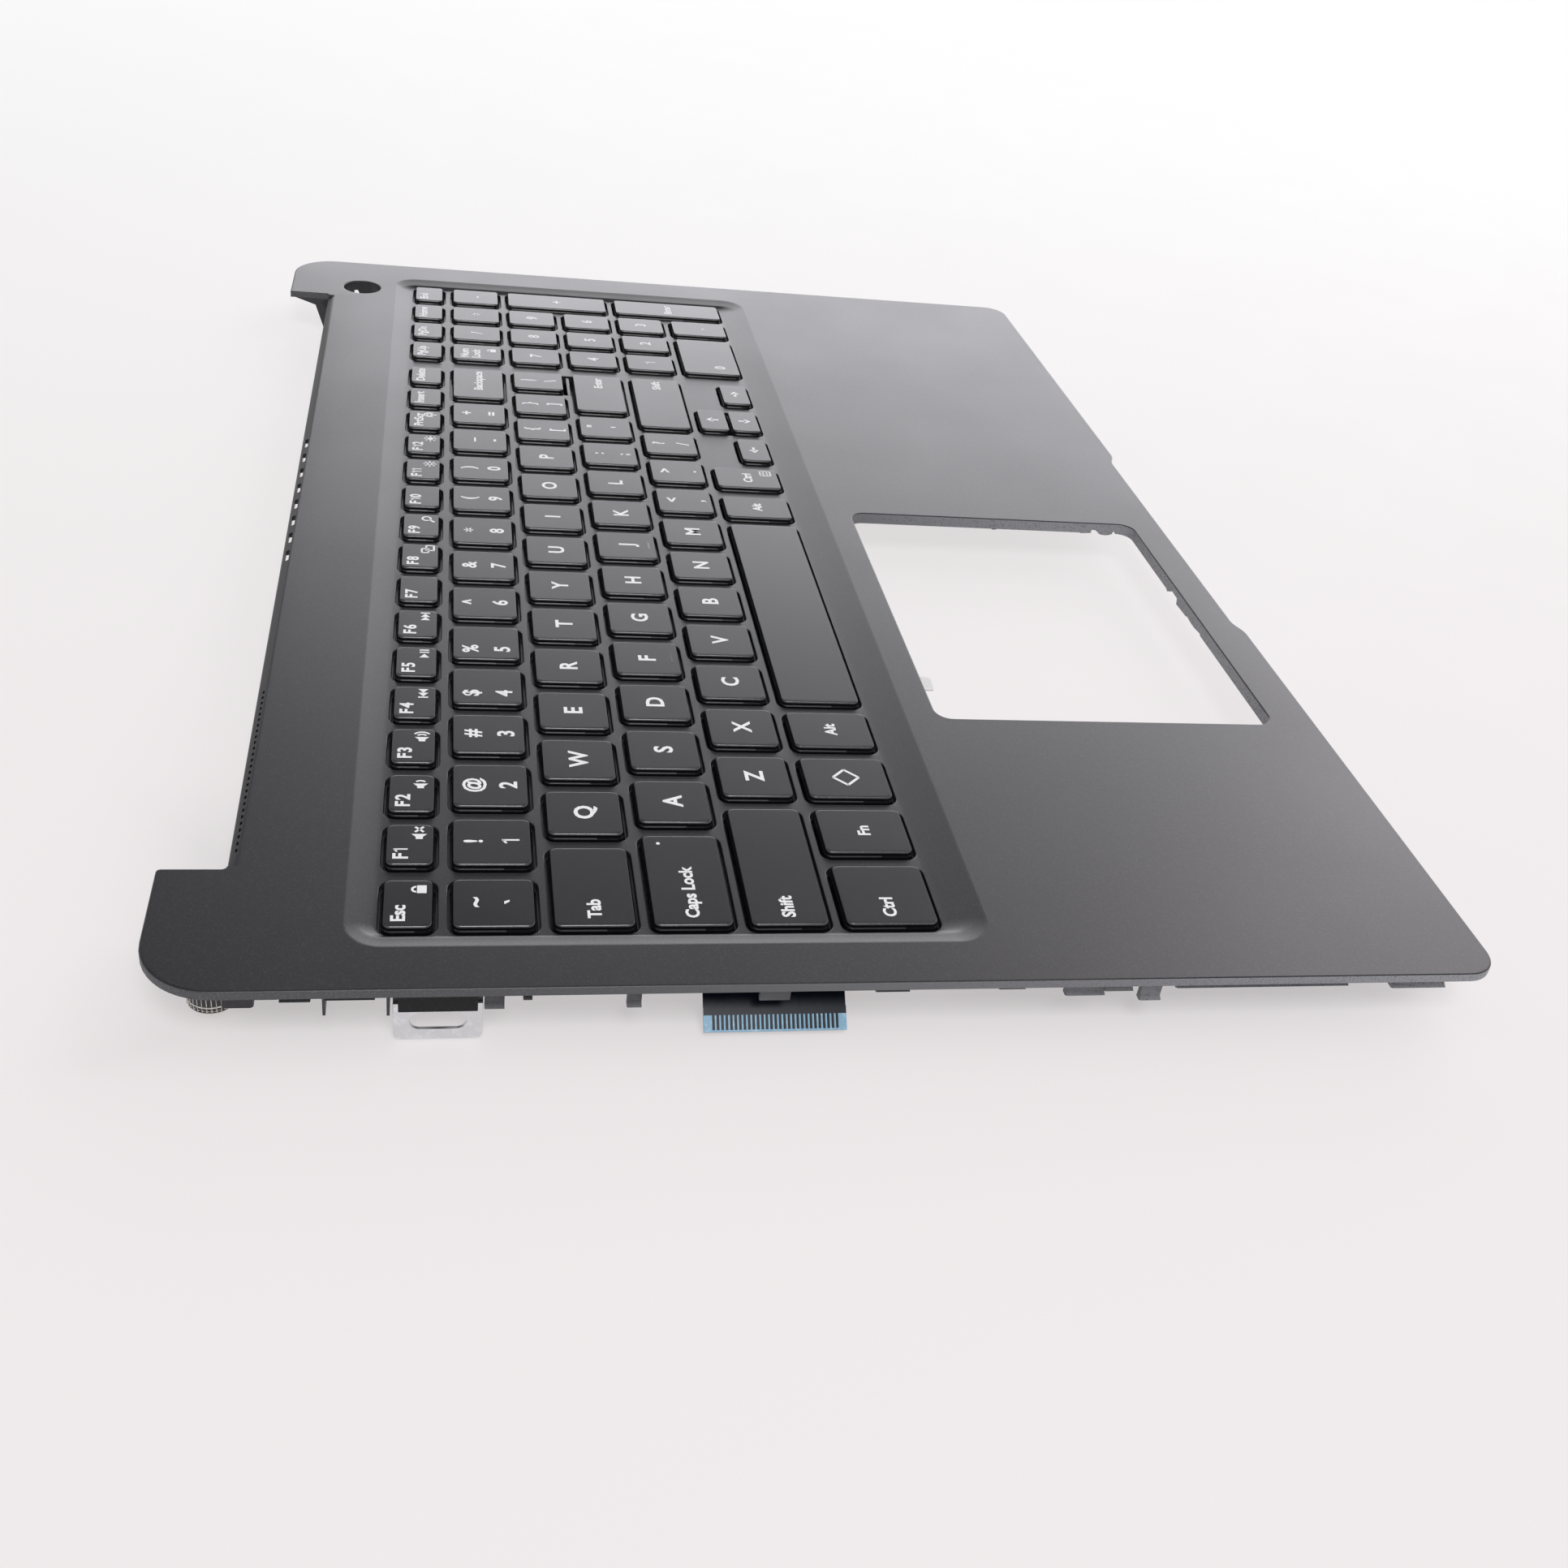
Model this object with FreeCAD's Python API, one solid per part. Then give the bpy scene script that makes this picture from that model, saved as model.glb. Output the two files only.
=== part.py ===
"""Laptop palm rest: the moulded top case of a 15 inch class laptop with its built-in keyboard.

X runs to the user's right, Y to the rear and Z up, in millimetres. The part stands on the ends of
its screw posts at Z = 0, centred in X and Y. Each piece is written to parts/ under its own name.
"""
import FreeCAD
import Part
import math
import os

# Cover outline, seen from above
width = 380.0
depth = 258.0
front_corner_radius = 7.0
rear_corner_radius = 13.5
hinge_tab_width = 34.0
notch_depth = 12.3
scoop_half_width = 50.5
scoop_run = 4.6
scoop_depth = 1.9

# Cover heights and walls
height = 14.0
skin = 1.8
rib_thickness = 1.2
rib_depth = 2.2

# Sides of the small round features, which have flat facets
post_sides = 8
stake_sides = 6

# How far a cutter runs past the face that it opens
overshoot = 1.0

# Keyboard recess: margins are from the outer keys' top edges to the rim of the recess
recess_depth = 1.5
recess_bevel = 3.6
recess_corner_radius = 7.0
recess_margin_left = 5.9
recess_margin_right = 7.4
recess_margin_rear = 6.6
recess_margin_front = 9.5
recess_wall = 1.6

# Margins from the cover's edges to the outer keys
field_margin_left = 16.9
field_margin_right = 20.8
field_margin_rear = 41.0

# Key caps: sizes are those of the top faces, and gaps lie between top faces
key_gap = 4.5
row_pitch = 18.46
key_depth = 14.75
key_corner = 1.3
key_flare = 0.3
key_height = 2.0
key_roof = 1.0
key_wall = 1.2
least_hollow_depth = 12.0
key_travel = 1.5
press_clearance = 0.3
hole_clearance = 0.4

# Key rows
bottom_key_depth = 17.9
bottom_row_gap = 3.72
function_row_gap = 3.9
function_key_depth = 8.65
escape_gap = 4.8
function_gap = 4.4
number_gap = 4.3
block_gap = 7.7
arrow_gap = 6.0
arrow_row_gap = 1.4

# Widths and places along the rows, each with the gap after it, in key pitches
main_block_pitches = 14.178
escape_pitches = 0.971
function_pitches = 0.8924
grave_pitches = 0.966
tab_pitches = 1.48
caps_lock_pitches = 1.6955
left_shift_pitches = 2.189
control_pitches = 1.181
left_alt_pitches = 0.966
right_alt_start_pitches = 9.108
arrow_start_pitches = 11.092
arrow_pitches = 1.113
number_pitches = 0.9029
number_columns = 4
stake_start_pitches = [1.21, 7.51]

# Touch pad opening, with the wall that hangs round it. Two relief gaps break the foot of the wall: one at
# the front, measured from the opening's left end, and one at the right, measured from its front end
pad_left = -100.0
pad_width = 106.0
pad_front_margin = 11.1
pad_rear_margin = 8.0
pad_corner_radius = 4.0
pad_rim_wall = 1.4
pad_rim_depth = 3.1
pad_gap_depth = 2.0
pad_front_gap = (65.7, 71.4)
pad_right_gap = (10.2, 11.6)

# Power button hole, with its collar, which hangs deeper at the front to guide the button
button_hole_radius = 6.0
button_from_right = 25.0
button_from_rear = 22.9
button_collar_wall = 1.5
button_collar_depth = 3.1
button_guide_depth = 4.4
button_guide_rear = 1.6

# Rear lip along the hinge notch, with its vent slots
lip_width = 2.2
lip_drop = 1.0
vent_count = 8
vent_pitch = 9.54
vent_length = 5.4
vent_width = 1.2
vent_centre_x = 2.4
vent_inset = 0.7

# Hinge gussets: walls on the inner sides of the rear tabs
gusset_thickness = 1.6
gusset_depth = 12.0
gusset_foot = 1.8
gusset_heel = 4.3
gusset_heel_depth = 4.0

# Edge hooks hang under the side and front edges. A side hook has its place from the rear, its length and
# its drop below the top; the one in the front corner has its place from the front
hook_inset = 2.6
hook_thickness = 1.3
hook_barb = 0.9
hook_barb_height = 1.2
corner_hook = (16.0, 11.4, 5.5)
side_hooks = [
    (21.5, 4.6, 4.0), (26.7, 5.2, 4.7), (36.0, 8.4, 4.4), (60.8, 3.5, 7.0), (66.6, 1.6, 5.0), (85.7, 2.6, 7.2),
    (133.6, 6.4, 4.4), (156.8, 5.1, 4.2), (171.8, 7.7, 6.1), (178.4, 5.6, 5.1), (185.4, 4.1, 7.6),
    (208.2, 36.0, 4.6),
]
front_hook_from_side = 40.0
front_hook_inner = 72.0
front_hook_length = 6.0
front_hook_drop = 5.6

# Thin ribs on both sides of a hook under the left edge, each with its place from the rear and its drop below
# the top, and the tab above the ribbon
side_rib_inset = 2.2
side_rib_length = 5.8
side_rib_thickness = 0.5
side_ribs = [(31.5, 7.7), (42.4, 8.0)]
ribbon_tab_inset = 1.6
ribbon_tab_thickness = 1.4
ribbon_tab_length = 5.7
ribbon_tab_from_rear = 111.3
ribbon_tab_drop = 5.3

# Screw posts that the part stands on, with threaded inserts
post_from_side = 50.0
post_from_front = 16.0
post_from_rear = 24.0
post_radius = 3.4
insert_radius = 2.0
insert_bore_radius = 1.0
insert_length = 4.0
insert_recess = 0.2

# Hinge posts in the rear corners, with larger inserts that stand a little proud
hinge_post_inset = 9.5
hinge_post_from_rear = 12.0
hinge_post_radius = 4.3
hinge_post_drop = 9.4
hinge_insert_radius = 2.9
hinge_insert_bore_radius = 1.25
hinge_insert_length = 5.0
hinge_insert_proud = 0.6

# Keyboard layers under the deck
membrane_thickness = 0.3
plate_thickness = 0.5
plate_margin = 2.0
plate_corner = 3.0
stake_radius = 1.05
stake_clearance = 0.2
stake_head_radius = 2.2
stake_head_height = 0.8
dome_base = 5.0
dome_top = 3.0
wire_size = 0.8
wire_leg = 3.6
wire_end_margin = 1.0

# Ribbon: leaves the plate to the left, bends down and ends in a stiffened contact strip
ribbon_width = 27.0
ribbon_from_rear = 98.8
ribbon_thickness = 0.3
ribbon_start_from_left = 32.0
ribbon_bend_from_left = 12.0
ribbon_bend_radius = 5.0
ribbon_bend_angle = 40.0
ribbon_tail = 10.2
stiffener_length = 4.6
stiffener_thickness = 0.3

# Port bracket under the left edge: an upright plate with an oblong slot and a screwed flange
bracket_width = 15.6
bracket_from_rear = 43.2
bracket_thickness = 0.8
bracket_inset = 1.8
bracket_drop = 13.4
bracket_flange_drop = 5.0
bracket_flange_length = 7.2
bracket_corner = 1.0
bracket_slot_length = 10.0
bracket_slot_height = 3.9
bracket_slot_drop = 9.1
slot_end_sides = 6
bracket_screw_radius = 1.0
bracket_screw_head_radius = 1.9
bracket_screw_head_height = 0.7
bracket_screw_length = 3.0
bracket_screw_clearance = 0.1

# Tape tab at the rear edge of the touch pad opening
tape_length = 6.6
tape_from_pad_left = 17.2
tape_reach = 1.8
tape_thickness = 0.3

# Places worked out from the driving dimensions
left_x = -width / 2
right_x = width / 2
front_y = -depth / 2
rear_y = depth / 2
notch_y = rear_y - notch_depth
notch_half_width = right_x - hinge_tab_width
underside = height - skin
deck_top = height - recess_depth
deck_bottom = height - key_height - key_travel - press_clearance
dome_height = height - key_roof - key_travel - press_clearance - deck_bottom
membrane_bottom = deck_bottom - membrane_thickness
plate_bottom = membrane_bottom - plate_thickness

# Key places: the pitch fills the width between the side margins, and the rows end at the rear margin
main_block_left = left_x + field_margin_left
number_pad_right = right_x - field_margin_right
field_width = number_pad_right - main_block_left
pitches_across = main_block_pitches + number_columns * number_pitches
key_pitch = (field_width - block_gap + number_gap) / pitches_across
main_block_right = main_block_left + main_block_pitches * key_pitch
number_pad_left = main_block_right + block_gap
number_pad_pitch = number_pitches * key_pitch
number_key_width = number_pad_pitch - number_gap
key_field_rear = rear_y - field_margin_rear
function_row_y = key_field_rear - function_key_depth
row_front = {1: function_row_y - function_row_gap - key_depth}
for row in (2, 3, 4):
    row_front[row] = row_front[row - 1] - row_pitch
bottom_row_y = row_front[4] - bottom_row_gap - bottom_key_depth

# Other places
recess_left = main_block_left - recess_margin_left
recess_right = number_pad_right + recess_margin_right
recess_front = bottom_row_y - recess_margin_front
recess_rear = key_field_rear + recess_margin_rear
pad_right = pad_left + pad_width
pad_front = front_y + pad_front_margin
pad_rear = recess_front - pad_rear_margin
button_x = right_x - button_from_right
button_y = rear_y - button_from_rear
post_rows = (front_y + post_from_front, rear_y - post_from_rear)
posts = [(side * (right_x - post_from_side), y) for side in (-1, 1) for y in post_rows]
hinge_posts = [(side * (right_x - hinge_post_inset), rear_y - hinge_post_from_rear) for side in (-1, 1)]
hinge_post_bottom = height - hinge_post_drop


def point(x, y, z=0.0):
    return FreeCAD.Vector(x, y, z)


def box(x0, x1, y0, y1, z0, z1):
    return Part.makeBox(x1 - x0, y1 - y0, z1 - z0, point(x0, y0, z0))


def cylinder(x, y, radius, z0, z1):
    return Part.makeCylinder(radius, z1 - z0, point(x, y, z0))


def flat_face(corners):
    return Part.Face(Part.makePolygon(corners + corners[:1]))


def prism(x, y, radius, sides, z0, z1):
    """An upright prism with equal sides, for small round features that need few faces."""
    angles = [2 * math.pi * k / sides for k in range(sides)]
    corners = [point(x + radius * math.cos(a), y + radius * math.sin(a), z0) for a in angles]
    return flat_face(corners).extrude(point(0, 0, z1 - z0))


def tapered_block(lower, upper):
    """A solid with flat sides between two like outlines, one above the other."""
    faces = [flat_face(lower), flat_face(upper)]
    for i in range(len(lower)):
        faces.append(flat_face([lower[i - 1], lower[i], upper[i], upper[i - 1]]))
    solid = Part.makeSolid(Part.makeShell(faces))
    if solid.Volume < 0:
        solid.reverse()
    return solid


def profile_x(outline, x0, x1):
    """A closed outline of (y, z) points, drawn along X."""
    return flat_face([point(x0, y, z) for y, z in outline]).extrude(point(x1 - x0, 0, 0))


def profile_y(outline, y0, y1):
    """A closed outline of (x, z) points, drawn along Y."""
    return flat_face([point(x, y0, z) for x, z in outline]).extrude(point(0, y1 - y0, 0))


def arc_through(start, centre, end):
    """The short circular arc about a centre, from one point to another."""
    middle = (start + end) * 0.5 - centre
    middle = centre + middle * ((start - centre).Length / middle.Length)
    return Part.Arc(start, middle, end).toShape()


def line(start, end):
    return Part.LineSegment(start, end).toShape()


def rounded_wire(x0, x1, y0, y1, radius, z):
    """A rectangle with round corners, at one height."""
    edges = []
    turns = [(x1, y0, -1, 1), (x1, y1, -1, -1), (x0, y1, 1, -1), (x0, y0, 1, 1)]
    last = point(x0 + radius, y0, z)
    for index, (x, y, towards_x, towards_y) in enumerate(turns):
        along_x = point(x + towards_x * radius, y, z)
        along_y = point(x, y + towards_y * radius, z)
        centre = point(x + towards_x * radius, y + towards_y * radius, z)
        first, second = (along_x, along_y) if index % 2 == 0 else (along_y, along_x)
        edges += [line(last, first), arc_through(first, centre, second)]
        last = second
    return Part.Wire(edges)


def rounded_block(x0, x1, y0, y1, radius, z0, z1):
    return Part.Face(rounded_wire(x0, x1, y0, y1, radius, z0)).extrude(point(0, 0, z1 - z0))


def cut_corners(x0, x1, y0, y1, corner, z):
    """The points of a rectangle with each corner cut off at 45 degrees, at one height."""
    return [
        point(x0 + corner, y0, z), point(x1 - corner, y0, z), point(x1, y0 + corner, z),
        point(x1, y1 - corner, z), point(x1 - corner, y1, z), point(x0 + corner, y1, z),
        point(x0, y1 - corner, z), point(x0, y0 + corner, z),
    ]


def run_of_keys(names, left, pitch, key_width):
    """Names and X extents of like keys in a row."""
    return [(name, left + i * pitch, left + i * pitch + key_width) for i, name in enumerate(names)]


def key_layout():
    """Every key as name: (x0, x1, y0, y1), the edges of its top face."""
    full = key_pitch - key_gap
    rows = {
        1: ("grave", grave_pitches, "1 2 3 4 5 6 7 8 9 0 minus equals", "backspace"),
        2: ("tab", tab_pitches, "q w e r t y u i o p left_bracket right_bracket", "backslash"),
        3: ("caps_lock", caps_lock_pitches, "a s d f g h j k l semicolon quote", "enter"),
        4: ("left_shift", left_shift_pitches, "z x c v b n m comma period slash", "right_shift"),
    }
    keys = {}
    for row, (first, first_pitches, middle, last) in rows.items():
        y0 = row_front[row]
        y1 = y0 + key_depth
        x = main_block_left + first_pitches * key_pitch
        keys[first] = (main_block_left, x - key_gap, y0, y1)
        for name, x0, x1 in run_of_keys(middle.split(), x, key_pitch, full):
            keys[name] = (x0, x1, y0, y1)
        keys[last] = (x1 + key_gap, main_block_right, y0, y1)

    y0 = function_row_y
    y1 = key_field_rear
    x = main_block_left + escape_pitches * key_pitch
    keys["escape"] = (main_block_left, x - escape_gap, y0, y1)
    pitch = function_pitches * key_pitch
    names = ["f%d" % i for i in range(1, 13)] + ["print_screen", "insert", "delete"]
    for name, x0, x1 in run_of_keys(names, x, pitch, pitch - function_gap):
        keys[name] = (x0, x1, y0, y1)
    names = ["page_up", "page_down", "home", "end"]
    for name, x0, x1 in run_of_keys(names, number_pad_left, number_pad_pitch, number_key_width):
        keys[name] = (x0, x1, y0, y1)

    y0 = bottom_row_y
    y1 = bottom_row_y + bottom_key_depth
    x = main_block_left + control_pitches * key_pitch
    keys["left_control"] = (main_block_left, x - key_gap, y0, y1)
    for name, x0, x1 in run_of_keys(["function", "system"], x, key_pitch, full):
        keys[name] = (x0, x1, y0, y1)
    x = x1 + key_gap
    space_left = x + left_alt_pitches * key_pitch
    keys["left_alt"] = (x, space_left - key_gap, y0, y1)
    x = main_block_left + right_alt_start_pitches * key_pitch
    keys["space_bar"] = (space_left, x - key_gap, y0, y1)
    names = ["right_alt", "right_control"]
    for name, x0, x1 in run_of_keys(names, x, key_pitch, number_key_width):
        keys[name] = (x0, x1, y0, y1)
    half = (bottom_key_depth - arrow_row_gap) / 2
    names = ["left_arrow", "down_arrow", "right_arrow"]
    x = main_block_left + arrow_start_pitches * key_pitch
    pitch = arrow_pitches * key_pitch
    for name, x0, x1 in run_of_keys(names, x, pitch, pitch - arrow_gap):
        keys[name] = (x0, x1, y0, y0 + half)
    x0, x1 = keys["down_arrow"][:2]
    keys["up_arrow"] = (x0, x1, y1 - half, y1)

    pad_rows = {
        1: "num_lock pad_divide pad_multiply pad_minus",
        2: "pad_7 pad_8 pad_9",
        3: "pad_4 pad_5 pad_6",
        4: "pad_1 pad_2 pad_3",
    }
    for row, names in pad_rows.items():
        y0 = row_front[row]
        columns = run_of_keys(names.split(), number_pad_left, number_pad_pitch, number_key_width)
        for name, x0, x1 in columns:
            keys[name] = (x0, x1, y0, y0 + key_depth)
    last_column = number_pad_right - number_key_width
    keys["pad_plus"] = (last_column, number_pad_right, row_front[3], row_front[2] + key_depth)
    keys["pad_enter"] = (last_column, number_pad_right, bottom_row_y, row_front[4] + key_depth)
    y1 = bottom_row_y + bottom_key_depth
    x = number_pad_left + number_pad_pitch
    keys["pad_0"] = (number_pad_left, x + number_key_width, bottom_row_y, y1)
    x += number_pad_pitch
    keys["pad_period"] = (x, x + number_key_width, bottom_row_y, y1)
    return keys


def key_cap(x0, x1, y0, y1):
    """A cap with cut corners, a skirt that flares downwards and a flat top, hollow unless it is low."""
    f = key_flare
    bottom = height - key_height
    skirt = cut_corners(x0 - f, x1 + f, y0 - f, y1 + f, key_corner + f, bottom)
    cap = tapered_block(skirt, cut_corners(x0, x1, y0, y1, key_corner, height))
    if is_low(y0, y1):
        return cap
    w = key_wall
    return cap.cut(box(x0 + w, x1 - w, y0 + w, y1 - w, bottom - w, height - key_roof))


def is_low(y0, y1):
    """Function and arrow keys are too shallow from front to rear to be hollow over a dome."""
    return y1 - y0 < least_hollow_depth


def key_hole(x0, x1, y0, y1):
    """The cutter for one key's window in the deck."""
    c = key_flare + hole_clearance
    return box(x0 - c, x1 + c, y0 - c, y1 + c, deck_bottom - overshoot, height + overshoot)


def scoop_curve(x_front, x_scoop):
    """The S-shaped end of the finger scoop, as two tangent arcs."""
    run = (x_scoop - x_front) / 2
    rise = scoop_depth / 2
    radius = (run * run + rise * rise) / (2 * rise)
    start = point(x_front, front_y)
    middle = point(x_front + run, front_y + rise)
    end = point(x_scoop, front_y + scoop_depth)
    return [
        arc_through(start, start + point(0, radius), middle),
        arc_through(middle, end - point(0, radius), end),
    ]


def cover_outline():
    """The cover's outline: round corners, hinge notch at the rear and finger scoop in front."""
    f, r = front_corner_radius, rear_corner_radius
    front_in, rear_in = front_y + f, rear_y - r
    outer = scoop_half_width + scoop_run
    edges = [line(point(left_x + f, front_y), point(-outer, front_y))]
    edges += scoop_curve(-outer, -scoop_half_width)
    scoop_y = front_y + scoop_depth
    edges.append(line(point(-scoop_half_width, scoop_y), point(scoop_half_width, scoop_y)))
    edges += scoop_curve(outer, scoop_half_width)
    edges += [
        line(point(outer, front_y), point(right_x - f, front_y)),
        arc_through(point(right_x - f, front_y), point(right_x - f, front_in), point(right_x, front_in)),
        line(point(right_x, front_in), point(right_x, rear_in)),
        arc_through(point(right_x, rear_in), point(right_x - r, rear_in), point(right_x - r, rear_y)),
        line(point(right_x - r, rear_y), point(notch_half_width, rear_y)),
        line(point(notch_half_width, rear_y), point(notch_half_width, notch_y)),
        line(point(notch_half_width, notch_y), point(-notch_half_width, notch_y)),
        line(point(-notch_half_width, notch_y), point(-notch_half_width, rear_y)),
        line(point(-notch_half_width, rear_y), point(left_x + r, rear_y)),
        arc_through(point(left_x + r, rear_y), point(left_x + r, rear_in), point(left_x, rear_in)),
        line(point(left_x, rear_in), point(left_x, front_in)),
        arc_through(point(left_x, front_in), point(left_x + f, front_in), point(left_x + f, front_y)),
    ]
    return Part.Wire(Part.__sortEdges__(edges))


def hook_outline(outer, inward, drop):
    """A snap hook's outline across the edge: a thin leg with a barb at its foot."""
    foot = height - drop
    inner = outer + inward * hook_thickness
    barb = outer - inward * hook_barb
    return [
        (outer, underside), (outer, foot + hook_barb_height), (barb, foot + hook_barb_height / 2),
        (outer, foot), (inner, foot), (inner, underside),
    ]


def edge_hooks():
    """Snap hooks along both side edges, every third one on the right, and four along the front edge."""
    hooks = []
    from_front, corner_length, corner_drop = corner_hook
    row = [(front_y + from_front, corner_length, corner_drop)]
    row += [(rear_y - from_rear, length, drop) for from_rear, length, drop in reversed(side_hooks)]
    for side, places in ((-1, row), (1, row[::3])):
        for y, length, drop in places:
            outline = hook_outline(side * (right_x - hook_inset), -side, drop)
            hooks.append(profile_y(outline, y - length / 2, y + length / 2))
    outline = hook_outline(front_y + hook_inset, 1, front_hook_drop)
    spread = right_x - front_hook_from_side
    for x in (-spread, -front_hook_inner, front_hook_inner, spread):
        hooks.append(profile_x(outline, x - front_hook_length / 2, x + front_hook_length / 2))
    return hooks


def left_edge_ribs():
    """The thin ribs beside a hook under the left edge, and the tab above the ribbon."""
    ribs = []
    x0 = left_x + side_rib_inset
    t = side_rib_thickness / 2
    for from_rear, drop in side_ribs:
        y = rear_y - from_rear
        ribs.append(box(x0, x0 + side_rib_length, y - t, y + t, height - drop, underside))
    x0 = left_x + ribbon_tab_inset
    y = rear_y - ribbon_tab_from_rear
    half = ribbon_tab_length / 2
    ribs.append(box(x0, x0 + ribbon_tab_thickness, y - half, y + half, height - ribbon_tab_drop, underside))
    return ribs


def button_collar():
    """The wall round the button hole, in two depths."""
    r = button_hole_radius + button_collar_wall
    wall = prism(button_x, button_y, r, post_sides, height - button_guide_depth, underside)
    return wall.cut(box(button_x - r, button_x + r, button_y + button_guide_rear, button_y + r,
                        height - button_guide_depth, height - button_collar_depth))


def rim_gaps():
    """Cutters for the relief gaps in the foot of the touch pad wall."""
    foot = height - pad_rim_depth
    top = height - pad_gap_depth
    x0, x1 = (pad_left + p for p in pad_front_gap)
    y0, y1 = (pad_front + p for p in pad_right_gap)
    return [box(x0, x1, pad_front - pad_rim_wall, pad_front, foot, top),
            box(pad_right, pad_right + pad_rim_wall, y0, y1, foot, top)]


def palm_ribs():
    """Stiffening ribs under the two palm areas: a long rib on each side, crossed by short ones."""
    top = underside
    bottom = underside - rib_depth
    t = rib_thickness / 2
    middle = (front_y + recess_front) / 2
    near = front_y + post_from_front + post_radius
    far = recess_front - recess_wall
    ribs = []
    for x0, x1, count in (
        (left_x + 2 * hook_inset, pad_left - pad_rim_wall, 2),
        (pad_right + pad_rim_wall, right_x - 2 * hook_inset, 4),
    ):
        ribs.append(box(x0, x1, middle - t, middle + t, bottom, top))
        for i in range(count):
            x = x0 + (x1 - x0) * (i + 0.5) / count
            ribs.append(box(x - t, x + t, near, far, bottom, top))
    return ribs


def hinge_gusset(side):
    """The wall on the inner side of a rear tab, deep at the notch and thin at the rear."""
    outline = [
        (notch_y - gusset_thickness, underside),
        (notch_y - gusset_thickness, height - gusset_depth),
        (notch_y + gusset_foot, height - gusset_depth),
        (notch_y + gusset_heel, height - gusset_heel_depth),
        (rear_y - gusset_thickness, underside),
    ]
    inner = side * notch_half_width
    return profile_x(outline, inner, inner + side * gusset_thickness)


def stake_places():
    """Heat stakes stand on the webs behind and in front of the letter rows, and beside the number pad."""
    between_blocks = (main_block_right + number_pad_left) / 2
    web = key_depth + (row_pitch - key_depth) / 2
    lines = (row_front[2] + web, row_front[4] - bottom_row_gap / 2)
    columns = [main_block_left + start * key_pitch for start in stake_start_pitches] + [between_blocks]
    return [(x, y) for x in columns for y in lines]


def bracket_seat():
    """The block under the left edge that the port bracket's flange is screwed to."""
    y1 = rear_y - bracket_from_rear
    x0 = left_x + bracket_inset + bracket_thickness
    x1 = left_x + bracket_inset + bracket_flange_length
    return box(x0, x1, y1 - bracket_width, y1, height - bracket_flange_drop, underside)


def palm_rest_cover(keys):
    plate = Part.Face(cover_outline()).extrude(point(0, 0, skin))
    plate.translate(point(0, 0, underside))
    w = recess_wall
    deck = box(recess_left - w, recess_right + w, recess_front - w, recess_rear + w,
               deck_bottom, underside)
    w = pad_rim_wall
    pad_rim = flat_face(cut_corners(pad_left - w, pad_right + w, pad_front - w, pad_rear + w,
                                    w, underside)).extrude(point(0, 0, skin - pad_rim_depth))
    solids = [deck, pad_rim, button_collar(), bracket_seat()] + edge_hooks() + left_edge_ribs() + palm_ribs()
    solids += [hinge_gusset(side) for side in (-1, 1)]
    solids += [prism(x, y, post_radius, post_sides, 0, underside) for x, y in posts]
    for x, y in hinge_posts:
        solids.append(prism(x, y, hinge_post_radius, post_sides, hinge_post_bottom, underside))
    head_bottom = plate_bottom - stake_head_height
    for x, y in stake_places():
        solids.append(prism(x, y, stake_radius, stake_sides, plate_bottom, deck_bottom))
        solids.append(prism(x, y, stake_head_radius, stake_sides, head_bottom, plate_bottom))
    cover = plate.fuse(solids)

    b = recess_bevel
    recess = Part.makeLoft([
        rounded_wire(recess_left, recess_right, recess_front, recess_rear, recess_corner_radius, height),
        rounded_wire(recess_left + b, recess_right - b, recess_front + b, recess_rear - b,
                     recess_corner_radius - b, deck_top),
    ], True, True)
    above = height + overshoot
    pad_cut = rounded_block(pad_left, pad_right, pad_front, pad_rear, pad_corner_radius, 0, above)
    button_cut = cylinder(button_x, button_y, button_hole_radius, 0, above)
    lip_cut = profile_x([
        (notch_y - lip_width, height), (notch_y, height - lip_drop),
        (notch_y + overshoot, height - lip_drop), (notch_y + overshoot, height),
    ], -notch_half_width, notch_half_width)
    cutters = [recess, pad_cut, button_cut, lip_cut] + rim_gaps()
    vent_y = notch_y - vent_inset
    for i in range(vent_count):
        x = vent_centre_x + (i - (vent_count - 1) / 2) * vent_pitch
        cutters.append(box(x - vent_length / 2, x + vent_length / 2, vent_y - vent_width, vent_y,
                           underside - overshoot, above))
    for x, y in posts:
        cutters.append(prism(x, y, insert_radius, post_sides, -overshoot, insert_recess + insert_length))
    for x, y in hinge_posts:
        mouth = hinge_post_bottom - hinge_insert_proud
        cutters.append(prism(x, y, hinge_insert_radius, post_sides, mouth, mouth + hinge_insert_length))
    x, y, flange_top = bracket_screw_place()
    screw_end = flange_top + bracket_screw_length
    cutters.append(prism(x, y, bracket_screw_radius, stake_sides, flange_top - overshoot, screw_end))
    cover = cover.cut(cutters)

    arrows = ("up_arrow", "down_arrow")
    windows = [key_hole(*edges) for name, edges in keys.items() if name not in arrows]
    x0, x1, y0 = keys["down_arrow"][:3]
    windows.append(key_hole(x0, x1, y0, keys["up_arrow"][3]))
    return cover.cut(windows).removeSplitter()


def layer(z0, z1):
    """A flat sheet under the deck with cut corners and a hole for each heat stake."""
    m = plate_margin
    outline = cut_corners(recess_left + m, recess_right - m, recess_front + m, recess_rear - m,
                          plate_corner, z0)
    sheet = flat_face(outline).extrude(point(0, 0, z1 - z0))
    radius = stake_radius + stake_clearance
    z0 -= overshoot
    z1 += overshoot
    return sheet.cut([prism(x, y, radius, stake_sides, z0, z1) for x, y in stake_places()])


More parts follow.
